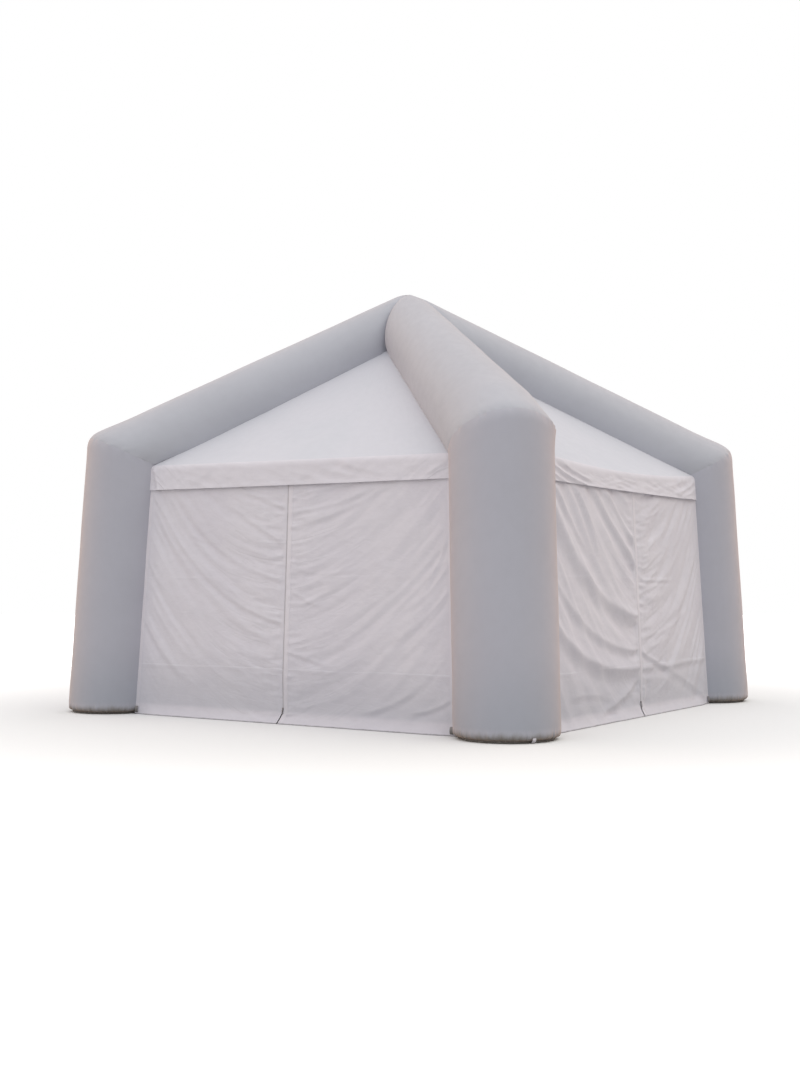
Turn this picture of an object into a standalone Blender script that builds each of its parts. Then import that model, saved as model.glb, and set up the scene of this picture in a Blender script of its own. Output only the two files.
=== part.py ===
# Marquee tent on four inflated legs, with four inflated rafters that meet at the peak.
# Metres, +Z up. The origin is on the ground under the middle of the tent, and the front
# wall faces -Y. Sides and corners are named as seen by someone who faces the front wall.

from math import cos, radians, sin

import bmesh
import bpy
from mathutils import Matrix, Vector

# Inflated frame
LEG_SPACING = 5.0
LEG_RADIUS = 0.49
KNEE_HEIGHT = 2.73
LEAN_IN = 0.115
PEAK_AXIS = Vector((-0.15, -0.10, 4.45))
PEAK_RADIUS = 0.37
TUBE_SIDES = 48
TUBE_OVERRUN = 0.6

# Feet of the legs
FOOT_THICKNESS = 0.02
FOOT_RADIUS = 0.44
FOOT_EDGE = 0.008
LEG_BOTTOM_ROUND = 0.05
LEG_BOTTOM_STEPS = 3

# Seams where the cloth joins the tubes: the turn out of a wall's own line on a leg, and
# the turn down from the side of a rafter
FRONT_SEAM_TURN = radians(16)
SIDE_SEAM_TURN = radians(23)
RAFTER_SEAM_TURN = radians(27)

# Cloth
WALL_THICKNESS = 0.008
ROOF_THICKNESS = 0.008
VALANCE_THICKNESS = 0.012
VALANCE_BOTTOM = 2.41
FRONT_EAVE_HEIGHT = 2.62
SIDE_EAVE_HEIGHT = 2.68
WALL_CLEARANCE = 0.008

# Zip down the middle of each wall, with a cover flap on its right
ZIP_WIDTH = 0.016
RIGHT_ZIP_SHIFT = 0.12
FLAP_WIDTH = 0.055
FLAP_THICKNESS = 0.006
FLAP_DROP = 0.02

# Tie straps at the foot of each wall, beside the legs
STRAP_WIDTH = 0.035
STRAP_HEIGHT = 0.07
STRAP_THICKNESS = 0.008
STRAP_INSET = 0.008
STRAP_BEVEL = 0.002

# Clearance between pieces that touch
GAP = 0.0003

# Spare cloth that a slab has past the planes and tubes that trim it
SPARE_BELOW_GROUND = 0.1
SPARE_BELOW_EAVE = 1.0

# Closeness at which a cut counts a corner as on its plane, the bend past which an edge
# stays sharp, the bend of a disc's rim, and how opposed two rafters are when they are
# across the peak from each other
CUT_TOLERANCE = 1e-5
SHARP_BEND = radians(30)
RIM_BEND = radians(60)
OPPOSED = -0.5

UP = Vector((0, 0, 1))
CORNERS = {
    "front_left": Vector((-1, -1, 0)),
    "front_right": Vector((1, -1, 0)),
    "back_right": Vector((1, 1, 0)),
    "back_left": Vector((-1, 1, 0)),
}
# For each side: its left and right corner seen from outside, its seam turn, the height of
# its eave, and how far its zip lies to the right of the wall's middle
SIDES = {
    "front": ("front_left", "front_right", FRONT_SEAM_TURN, FRONT_EAVE_HEIGHT, 0.0),
    "right": ("front_right", "back_right", SIDE_SEAM_TURN, SIDE_EAVE_HEIGHT, RIGHT_ZIP_SHIFT),
    "back": ("back_right", "back_left", FRONT_SEAM_TURN, FRONT_EAVE_HEIGHT, 0.0),
    "left": ("back_left", "front_left", SIDE_SEAM_TURN, SIDE_EAVE_HEIGHT, 0.0),
}


def clear_scene():
    for old in list(bpy.data.objects):
        bpy.data.objects.remove(old, do_unlink=True)


def make_collection(name):
    collection = bpy.data.collections.new(name)
    bpy.context.scene.collection.children.link(collection)
    return collection


def make_material(name, colour, roughness):
    material = bpy.data.materials.new(name)
    material.use_nodes = True
    shader = material.node_tree.nodes["Principled BSDF"]
    shader.inputs["Base Color"].default_value = (*colour, 1.0)
    shader.inputs["Roughness"].default_value = roughness
    shader.inputs["Metallic"].default_value = 0.0
    material.diffuse_color = (*colour, 1.0)
    return material


def frame_matrix(origin, x_axis, y_axis, z_axis):
    turn = Matrix((x_axis, y_axis, z_axis)).transposed().to_4x4()
    return Matrix.Translation(origin) @ turn


def trim(bm, matrix, planes):
    """Keep the side of each world plane (point, normal) that its normal points away from."""
    inverse = matrix.inverted()
    for point, normal in planes:
        local_point = inverse @ point
        local_normal = (inverse.to_3x3() @ normal).normalized()
        bmesh.ops.bisect_plane(
            bm,
            geom=bm.verts[:] + bm.edges[:] + bm.faces[:],
            dist=CUT_TOLERANCE,
            plane_co=local_point,
            plane_no=local_normal,
            clear_outer=True,
        )
        open_edges = [edge for edge in bm.edges if edge.is_boundary]
        bmesh.ops.holes_fill(bm, edges=open_edges, sides=0)


def finish_object(name, bm, matrix, material, collection):
    mesh = bpy.data.meshes.new(name)
    bmesh.ops.recalc_face_normals(bm, faces=bm.faces[:])
    bm.to_mesh(mesh)
    bm.free()
    mesh.shade_smooth()
    mesh.set_sharp_from_angle(angle=SHARP_BEND)
    if material:
        mesh.materials.append(material)
    piece = bpy.data.objects.new(name, mesh)
    piece.matrix_world = matrix
    collection.objects.link(piece)
    return piece


def tube_matrix(start, end, side):
    run = (end - start).normalized()
    across = run.cross(side).normalized()
    return frame_matrix(start, across.cross(run), across, run)


def make_tube_mesh(start, end, start_radius, end_radius, overrun):
    """Cone or cylinder from start to end in its own frame, run on past both ends."""
    length = (end - start).length
    taper = (end_radius - start_radius) / length
    bm = bmesh.new()
    bmesh.ops.create_cone(
        bm,
        cap_ends=True,
        segments=TUBE_SIDES,
        radius1=start_radius - taper * overrun,
        radius2=end_radius + taper * overrun,
        depth=length + 2 * overrun,
        matrix=Matrix.Translation((0, 0, length / 2)),
    )
    return bm


def make_slab(matrix, low, high):
    """Box between two corners in its own frame."""
    size = high - low
    bm = bmesh.new()
    bmesh.ops.create_cube(
        bm,
        size=1.0,
        matrix=Matrix.Translation((low + high) / 2) @ Matrix.Diagonal((*size, 1.0)),
    )
    return bm


def add_cuts(piece, cutters):
    for cutter in cutters:
        cut = piece.modifiers.new("cut_" + cutter.name, "BOOLEAN")
        cut.operation = "DIFFERENCE"
        cut.solver = "EXACT"
        cut.object = cutter


class Corner:
    """Axes of one leg and its rafter."""

    def __init__(self, way):
        self.foot = way * (LEG_SPACING / 2)
        self.knee = way * (LEG_SPACING / 2 - LEAN_IN) + UP * KNEE_HEIGHT
        self.leg_run = (self.knee - self.foot).normalized()
        self.rafter_run = (PEAK_AXIS - self.knee).normalized()
        self.side = UP.cross(self.rafter_run).normalized()
        self.rafter_up = self.rafter_run.cross(self.side).normalized()
        if self.rafter_up.z < 0:
            self.rafter_up = -self.rafter_up
        self.mitre = (self.leg_run + self.rafter_run).normalized()

    def leg_axis_at(self, height):
        return self.foot.lerp(self.knee, height / KNEE_HEIGHT)

    def side_towards(self, other):
        return self.side if self.side.dot(other.foot - self.foot) > 0 else -self.side

    def rafter_seam(self, other):
        """Top end of the cloth seam along the rafter, on the side of another corner."""
        out = self.side_towards(other) * cos(RAFTER_SEAM_TURN)
        return PEAK_AXIS + PEAK_RADIUS * (out - self.rafter_up * sin(RAFTER_SEAM_TURN))


class Side:
    """Planes of one wall, its valance and its roof panel. In both frames X runs to the
    right, Y runs inwards and Z runs up the cloth."""

    def __init__(self, left, right, seam_turn, eave_height, zip_shift):
        self.left = left
        self.right = right
        self.seam_reach = LEG_RADIUS * cos(seam_turn)
        self.zip_shift = zip_shift
        self.along = (right.foot - left.foot).normalized()
        self.out = self.along.cross(UP)
        bottom = self.seam_point(left, 0, seam_turn)
        top = self.seam_point(left, KNEE_HEIGHT, seam_turn)
        middle = self.along * self.along.dot(left.foot + right.foot) / 2
        self.wall_foot = bottom - self.along * self.along.dot(bottom) + middle
        rise = top - bottom
        self.wall_up = (rise - self.along * self.along.dot(rise)).normalized()
        self.wall_out = self.along.cross(self.wall_up).normalized()
        peak = (left.rafter_seam(right) + right.rafter_seam(left)) / 2
        face = WALL_THICKNESS / 2 + GAP + VALANCE_THICKNESS
        rise_to_eave = self.wall_up * (eave_height / self.wall_up.z)
        self.roof_point = self.wall_foot + self.wall_out * face + rise_to_eave
        slope = peak - self.roof_point
        self.roof_up = (slope - self.along * self.along.dot(slope)).normalized()
        self.roof_out = self.along.cross(self.roof_up).normalized()
        self.wall_matrix = frame_matrix(
            self.wall_foot, self.along, -self.wall_out, self.wall_up
        )
        self.roof_matrix = frame_matrix(
            self.roof_point, self.along, -self.roof_out, self.roof_up
        )

    def seam_point(self, corner, height, seam_turn):
        reach = self.along * cos(seam_turn) + self.out * sin(seam_turn)
        return corner.leg_axis_at(height) + LEG_RADIUS * reach

    def under_roof(self):
        """Plane a gap below the roof panel's underside."""
        depth = ROOF_THICKNESS / 2 + GAP
        return self.roof_point - self.roof_out * depth, self.roof_out

    def above_ground(self):
        return UP * WALL_CLEARANCE, -UP


def build_feet_and_frame(corners, names, parts, looks):
    for name, corner in zip(names, corners):
        level = FOOT_THICKNESS + GAP
        leg_matrix = tube_matrix(corner.foot, corner.knee, corner.side)
        leg = make_tube_mesh(corner.foot, corner.knee, LEG_RADIUS, LEG_RADIUS, TUBE_OVERRUN)
        trim(leg, leg_matrix, [
            (corner.knee - corner.mitre * GAP / 2, corner.mitre),
            (UP * level, -UP),
        ])
        bottom = min(leg.faces, key=lambda face: (leg_matrix @ face.calc_center_median()).z)
        bmesh.ops.bevel(
            leg,
            geom=bottom.edges[:],
            offset=LEG_BOTTOM_ROUND,
            segments=LEG_BOTTOM_STEPS,
            profile=0.5,
            affect="EDGES",
            clamp_overlap=False,
        )
        finish_object("leg_" + name, leg, leg_matrix, looks["tube"], parts)

        rafter_matrix = tube_matrix(corner.knee, PEAK_AXIS, corner.side)
        rafter = make_tube_mesh(
            corner.knee, PEAK_AXIS, LEG_RADIUS, PEAK_RADIUS, TUBE_OVERRUN
        )
        planes = [(corner.knee + corner.mitre * GAP / 2, -corner.mitre)]
        own_way = Vector((corner.rafter_run.x, corner.rafter_run.y, 0)).normalized()
        for other in corners:
            other_way = Vector((other.rafter_run.x, other.rafter_run.y, 0)).normalized()
            if other is not corner and other_way.dot(own_way) > OPPOSED:
                split = (own_way - other_way).normalized()
                planes.append((PEAK_AXIS - split * GAP / 2, split))
        trim(rafter, rafter_matrix, planes)
        finish_object("rafter_" + name, rafter, rafter_matrix, looks["rafter"], parts)

        foot_matrix = Matrix.Translation(corner.foot)
        foot = bmesh.new()
        bmesh.ops.create_cone(
            foot,
            cap_ends=True,
            segments=TUBE_SIDES,
            radius1=FOOT_RADIUS,
            radius2=FOOT_RADIUS,
            depth=FOOT_THICKNESS,
            matrix=Matrix.Translation((0, 0, FOOT_THICKNESS / 2)),
        )
        rims = [edge for edge in foot.edges if edge.calc_face_angle(0) > RIM_BEND]
        bmesh.ops.bevel(
            foot, geom=rims, offset=FOOT_EDGE, segments=2, profile=0.5, affect="EDGES"
        )
        finish_object("foot_" + name, foot, foot_matrix, looks["foot"], parts)


def build_cutters(corners, names, guides):
    """Legs and rafters grown by the gap and run on past their ends, to trim the cloth."""
    cutters = []
    for name, corner in zip(names, corners):
        grown = LEG_RADIUS + GAP
        leg_matrix = tube_matrix(corner.foot, corner.knee, corner.side)
        leg = make_tube_mesh(corner.foot, corner.knee, grown, grown, TUBE_OVERRUN)
        pair = [finish_object("cutter_leg_" + name, leg, leg_matrix, None, guides)]
        rafter_matrix = tube_matrix(corner.knee, PEAK_AXIS, corner.side)
        rafter = make_tube_mesh(
            corner.knee, PEAK_AXIS, grown, PEAK_RADIUS + GAP, TUBE_OVERRUN
        )
        pair.append(finish_object("cutter_rafter_" + name, rafter, rafter_matrix, None, guides))
        for cutter in pair:
            cutter.hide_render = True
            cutter.display_type = "WIRE"
        cutters.append(pair)
    return cutters


def build_side(name, side, cutters, parts, looks):
    reach = LEG_SPACING / 2
    tall = KNEE_HEIGHT + TUBE_OVERRUN
    wall_half = WALL_THICKNESS / 2
    zip_left = side.zip_shift - ZIP_WIDTH / 2
    zip_right = side.zip_shift + ZIP_WIDTH / 2
    trims = [side.under_roof(), side.above_ground()]

    halves = {"left": (-reach, zip_left - GAP), "right": (zip_right + GAP, reach)}
    for half, (start, end) in halves.items():
        wall = make_slab(
            side.wall_matrix,
            Vector((start, -wall_half, -SPARE_BELOW_GROUND)),
            Vector((end, wall_half, tall)),
        )
        trim(wall, side.wall_matrix, trims)
        piece_name = f"wall_{name}_{half}_half"
        piece = finish_object(piece_name, wall, side.wall_matrix, looks["wall"], parts)
        add_cuts(piece, cutters)

    strip = make_slab(
        side.wall_matrix,
        Vector((zip_left, -wall_half, -SPARE_BELOW_GROUND)),
        Vector((zip_right, wall_half, tall)),
    )
    trim(strip, side.wall_matrix, trims)
    finish_object("zip_" + name, strip, side.wall_matrix, looks["zip"], parts)

    outside = wall_half + GAP
    low_edge = VALANCE_BOTTOM / side.wall_up.z
    flap = make_slab(
        side.wall_matrix,
        Vector((zip_right, -outside - FLAP_THICKNESS, WALL_CLEARANCE * 2)),
        Vector((zip_right + FLAP_WIDTH, -outside, low_edge - FLAP_DROP)),
    )
    finish_object("zip_flap_" + name, flap, side.wall_matrix, looks["flap"], parts)

    valance = make_slab(
        side.wall_matrix,
        Vector((-reach, -outside - VALANCE_THICKNESS, low_edge)),
        Vector((reach, -outside, tall)),
    )
    trim(valance, side.wall_matrix, [side.under_roof()])
    piece = finish_object("valance_" + name, valance, side.wall_matrix, looks["valance"], parts)
    add_cuts(piece, cutters)

    face = outside + VALANCE_THICKNESS
    roof = make_slab(
        side.roof_matrix,
        Vector((-LEG_SPACING, -ROOF_THICKNESS / 2, -SPARE_BELOW_EAVE)),
        Vector((LEG_SPACING, ROOF_THICKNESS / 2, LEG_SPACING)),
    )
    planes = [(side.wall_foot + side.wall_out * face, side.wall_out)]
    for corner, way in ((side.left, -1), (side.right, 1)):
        across = Vector((-corner.rafter_run.y, corner.rafter_run.x, 0)).normalized()
        if across.dot(side.along) * way < 0:
            across = -across
        planes.append((PEAK_AXIS, across))
    trim(roof, side.roof_matrix, planes)
    piece = finish_object("roof_" + name, roof, side.roof_matrix, looks["roof"], parts)
    add_cuts(piece, cutters)

    for corner, way, half in ((side.left, 1, "left"), (side.right, -1, "right")):
        foot_along = side.along.dot(corner.foot - side.wall_foot)
        edge = foot_along + way * (side.seam_reach + STRAP_INSET)
        start, end = sorted((edge, edge + way * STRAP_WIDTH))
        strap = make_slab(
            side.wall_matrix,
            Vector((start, -outside - STRAP_THICKNESS, WALL_CLEARANCE * 2)),
            Vector((end, -outside, WALL_CLEARANCE * 2 + STRAP_HEIGHT)),
        )
        bmesh.ops.bevel(
            strap,
            geom=strap.edges[:],
            offset=STRAP_BEVEL,
            segments=1,
            profile=0.5,
            affect="EDGES",
        )
        strap_name = f"tie_strap_{name}_{half}"
        finish_object(strap_name, strap, side.wall_matrix, looks["strap"], parts)


def main():
    clear_scene()
    parts = make_collection("marquee_tent")
    guides = make_collection("marquee_tent_cutters")
    looks = {
        "tube": make_material("leg_tube_cloth", (0.62, 0.62, 0.65), 0.55),
        "rafter": make_material("rafter_tube_cloth", (0.66, 0.66, 0.70), 0.55),
        "foot": make_material("foot_cloth", (0.33, 0.31, 0.31), 0.7),
        "roof": make_material("roof_cloth", (0.66, 0.65, 0.71), 0.6),
        "wall": make_material("wall_cloth", (0.61, 0.57, 0.60), 0.65),
        "valance": make_material("valance_cloth", (0.64, 0.59, 0.62), 0.65),
        "zip": make_material("zip_tape", (0.20, 0.19, 0.20), 0.6),
        "flap": make_material("zip_flap_cloth", (0.68, 0.64, 0.66), 0.65),
        "strap": make_material("strap_webbing", (0.45, 0.43, 0.43), 0.7),
    }
    names = list(CORNERS)
    corners = [Corner(way) for way in CORNERS.values()]
    build_feet_and_frame(corners, names, parts, looks)
    cutter_pairs = build_cutters(corners, names, guides)
    for name, (left, right, *settings) in SIDES.items():
        left_index = names.index(left)
        right_index = names.index(right)
        side = Side(corners[left_index], corners[right_index], *settings)
        cutters = cutter_pairs[left_index] + cutter_pairs[right_index]
        build_side(name, side, cutters, parts, looks)
    holder = bpy.data.objects.new("marquee_tent_origin", None)
    parts.objects.link(holder)
    for piece in list(parts.objects):
        if piece is not holder:
            piece.parent = holder


main()
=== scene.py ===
from math import atan2, cos, exp, pi, radians, sin, sqrt

import bmesh
import bpy
from mathutils import Matrix, Vector, noise


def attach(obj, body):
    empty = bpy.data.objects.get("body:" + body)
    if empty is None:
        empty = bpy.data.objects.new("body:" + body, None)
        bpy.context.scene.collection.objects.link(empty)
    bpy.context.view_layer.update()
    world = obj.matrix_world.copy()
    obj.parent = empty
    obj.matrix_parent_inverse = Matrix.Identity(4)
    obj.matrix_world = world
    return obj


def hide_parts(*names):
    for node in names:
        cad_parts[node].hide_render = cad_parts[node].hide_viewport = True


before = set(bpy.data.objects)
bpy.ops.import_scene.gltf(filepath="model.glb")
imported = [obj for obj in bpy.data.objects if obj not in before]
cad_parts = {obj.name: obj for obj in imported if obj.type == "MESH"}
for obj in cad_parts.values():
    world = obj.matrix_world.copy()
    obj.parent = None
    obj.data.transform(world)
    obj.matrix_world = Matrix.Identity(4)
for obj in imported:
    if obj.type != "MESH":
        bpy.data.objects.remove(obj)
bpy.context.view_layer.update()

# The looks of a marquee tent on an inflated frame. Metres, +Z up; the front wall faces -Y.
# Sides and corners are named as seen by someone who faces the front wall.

UP = Vector((0, 0, 1))

# Inflated frame, as its solids have it
LEG_SPACING = 5.0
LEG_RADIUS = 0.49
KNEE_HEIGHT = 2.73
LEAN_IN = 0.115
PEAK_AXIS = Vector((-0.15, -0.10, 4.45))
PEAK_RADIUS = 0.37
FOOT_THICKNESS = 0.02
FOOT_EDGE = 0.008
GAP = 0.0003

# Seams where the cloth joins the tubes: the turn out of a wall's own line on a leg, and
# the turn down from the side of a rafter
FRONT_SEAM_TURN = radians(16)
SIDE_SEAM_TURN = radians(23)
RAFTER_SEAM_TURN = radians(27)

# Cloth, as its solids have it
WALL_THICKNESS = 0.008
VALANCE_THICKNESS = 0.012
VALANCE_BOTTOM = 2.41
FRONT_EAVE_HEIGHT = 2.62
SIDE_EAVE_HEIGHT = 2.68
WALL_CLEARANCE = 0.008
ZIP_WIDTH = 0.016
RIGHT_ZIP_SHIFT = 0.12
FLAP_WIDTH = 0.055
FLAP_DROP = 0.02
STRAP_WIDTH = 0.035
STRAP_HEIGHT = 0.07
STRAP_INSET = 0.008

CORNERS = {
    "front_left": Vector((-1, -1, 0)),
    "front_right": Vector((1, -1, 0)),
    "back_right": Vector((1, 1, 0)),
    "back_left": Vector((-1, 1, 0)),
}

# Camera, where the photograph was taken from
CAMERA_PLACE = Vector((8.365, -13.0425, 1.3375))
CAMERA_YAW = 0.588
CAMERA_PITCH = 0.043
CAMERA_LENS = 44.58
CAMERA_SENSOR = 36

dressing = bpy.data.collections.new("marquee_tent_looks")
bpy.context.scene.collection.children.link(dressing)


def make_camera():
    data = bpy.data.cameras.new("camera")
    data.lens = CAMERA_LENS
    data.sensor_width = CAMERA_SENSOR
    camera = bpy.data.objects.new("camera", data)
    camera.location = CAMERA_PLACE
    camera.rotation_euler = (pi / 2 + CAMERA_PITCH, 0, CAMERA_YAW)
    bpy.context.scene.collection.objects.link(camera)
    bpy.context.scene.camera = camera


make_camera()


# Small tools

def fall(share):
    """From 1 at 0 down to 0 at 1, softly."""
    left = max(0.0, 1.0 - share)
    return left * left


def rise(share):
    """From 0 at 0 up to 1 at 1, softly at both ends."""
    share = min(max(share, 0.0), 1.0)
    return share * share * (3 - 2 * share)


def mix(low, high, share):
    return low + (high - low) * share


def crowded(share, amount):
    """Share of a length whose steps are closer together at both ends."""
    return share - amount * sin(2 * pi * share) / (2 * pi)


def waver(x, y, z=0.0):
    """Smooth random waves of about unit size, between -1 and 1. Whole numbers are added to
    z or to a seed only to get another pattern."""
    return noise.noise(Vector((x, y, z)))


# Crests of creased cloth: how round they are, and how far from them the valleys are
CREST_ROUND = 0.004
CREST_SPAN = 0.55


def crease(x, y, z=0.0):
    """Random soft valleys with sharp crests between them, between -1 and 1."""
    return 1 - 2 * sqrt(waver(x, y, z) ** 2 + CREST_ROUND) / CREST_SPAN


# Materials

def linear(hex_colour):
    """Linear colour of an sRGB hex value."""
    def channel(start):
        share = int(hex_colour[start:start + 2], 16) / 255
        if share <= 0.04045:
            return share / 12.92
        return ((share + 0.055) / 1.055) ** 2.4
    return (channel(1), channel(3), channel(5), 1.0)


def fill_inputs(tree, node, inputs):
    """Give each input its value, or link it from the socket that is given for it. A list
    fills the first inputs in turn."""
    pairs = enumerate(inputs) if isinstance(inputs, list) else inputs.items()
    for key, value in pairs:
        if isinstance(value, bpy.types.NodeSocket):
            tree.links.new(value, node.inputs[key])
        else:
            node.inputs[key].default_value = value


def add_node(tree, kind, inputs, output=0, **settings):
    """Add a node with its settings, values and links, and return one of its outputs."""
    node = tree.nodes.new("ShaderNode" + kind)
    for name, value in settings.items():
        setattr(node, name, value)
    fill_inputs(tree, node, inputs)
    return node.outputs[output] if node.outputs else None


def new_material(name):
    material = bpy.data.materials.new(name)
    material.use_nodes = True
    tree = material.node_tree
    return material, tree, tree.nodes["Principled BSDF"]


# Settings of a mix of two colours and of a smooth step between two limits
COLOUR_MIX = {"output": 2, "data_type": "RGBA"}
SMOOTH_STEP = {"interpolation_type": "SMOOTHSTEP"}

# A wave texture repeats every 2 pi / 20 of its own coordinate
WAVE_LENGTH = 2 * pi / 20

# Patterns of the cloth, in waves to the metre: the slow change of tint is about 0.9 m wide, the
# mottle 110 mm and the streaks of grime and painted contact shade 70 mm; crumples and streaks are
# longer one way
TINT_WAVES = 1.1
MOTTLE_WAVES = 9.0
STREAK_WAVES = 14.0
CRUMPLE_STRETCH = (0.6, 1.0, 1.0)
STREAK_STRETCH = (0.8, 0.3, 1.0)
STREAK_STRENGTH = 1.1
ROUGHNESS_SPREAD = 0.06

# Values of the patterns between which each of them goes from nothing to its full strength
TINT_LIMITS = (0.35, 0.65)
SPECK_LIMITS = (0.3, 0.8)
DIRT_AND_SHADE_LIMITS = (0.75, 1.7)
GLOSS_LIMITS = (0.3, 0.7)

# How much of their height threads and crumples keep in the light
THREAD_RELIEF = 0.6
CRUMPLE_RELIEF = 0.8

# Painted shade on the lower part of the cloth, a bluish darkening that grows towards the ground:
# how high it reaches and how much there is; the hem keeps only a share of it, and so is painted
# lighter
LOW_SHADE_HEIGHT = 0.9
LOW_SHADE = 0.20
LOW_SHADE_COLOUR = "#66808F"
HEM_LOW_SHADE = 0.35
HEM_LOW_SHADE_HEIGHTS = (0.09, 0.14)

# Folds left by packing, every 0.93 m up a wall: where each is and how strong; its under
# side is slow and its upper side sharp. It wanders up and down, in waves about 0.8 m long, and
# breaks off every 0.6 m or so
PACKING_CREASES = ((0.54, 1.0), (1.47, 0.35))
CREASE_HEIGHT = 0.0045
CREASE_BELOW = 0.05
CREASE_ABOVE = 0.014
CREASE_WANDER = 0.05
WANDER_WAVES = 1.3
BREAK_WAVES = 1.7
BREAK_LIMITS = (0.38, 0.6)
CREASE_AT_BREAKS = 0.15


def packing_creases(tree, cut):
    """Height of the creases along the cut."""
    wander = add_node(tree, "TexNoise", {"Vector": cut, "Scale": WANDER_WAVES, "Detail": 3.0})
    breaks = add_node(tree, "TexNoise", {"Vector": cut, "Scale": BREAK_WAVES, "Detail": 1.0})
    shows = add_node(
        tree, "MapRange", [breaks, *BREAK_LIMITS, CREASE_AT_BREAKS, 1.0], **SMOOTH_STEP
    )
    up = add_node(tree, "SeparateXYZ", [cut], "Y")
    up = add_node(tree, "Math", [wander, CREASE_WANDER, up], operation="MULTIPLY_ADD")
    total = None
    for place, strength in PACKING_CREASES:
        middle = place + CREASE_WANDER / 2
        below = add_node(
            tree, "MapRange", [up, middle - CREASE_BELOW, middle, 0.0, strength], **SMOOTH_STEP
        )
        above = add_node(
            tree, "MapRange", [up, middle, middle + CREASE_ABOVE, 1.0, 0.0], **SMOOTH_STEP
        )
        ridge = add_node(tree, "Math", [below, above], operation="MULTIPLY")
        if total is not None:
            ridge = add_node(tree, "Math", [total, ridge], operation="ADD")
        total = ridge
    return add_node(tree, "Math", [total, shows], operation="MULTIPLY")


# Small folds that follow the swags of a wall: their number along a swag, their width, how wide
# their crests are, how strong they are next to a leg, and the share of the way to the zip from
# which they grow to full strength
FOLDS_ALONG = 6.0
FOLD_WIDTH = 0.07
FOLD_CREST = 0.22
FOLDS_AT_LEG = 0.15
FOLDS_GROW_FROM = 0.3


def swag_folds(tree):
    """Height of the small folds, from where the cloth lies along its swags and up them."""
    swag = add_node(tree, "UVMap", {}, uv_map="swag")
    spread = add_node(
        tree, "VectorMath", [swag, (FOLDS_ALONG, 1 / FOLD_WIDTH, 0)], operation="MULTIPLY"
    )
    waves = add_node(
        tree, "TexNoise",
        {"Vector": spread, "Scale": 0.5, "Detail": 2.0, "Roughness": 0.4, "Distortion": 0.9},
    )
    off = add_node(tree, "Math", [waves, 0.5], operation="SUBTRACT")
    away = add_node(tree, "Math", [off], operation="ABSOLUTE")
    crest = add_node(tree, "MapRange", [away, 0.0, FOLD_CREST, 1.0, 0.0], **SMOOTH_STEP)
    along = add_node(tree, "SeparateXYZ", [swag], "X")
    strength = add_node(
        tree, "MapRange", [along, FOLDS_GROW_FROM, 1.0, FOLDS_AT_LEG, 1.0], **SMOOTH_STEP
    )
    return add_node(tree, "Math", [crest, strength], operation="MULTIPLY")


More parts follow.
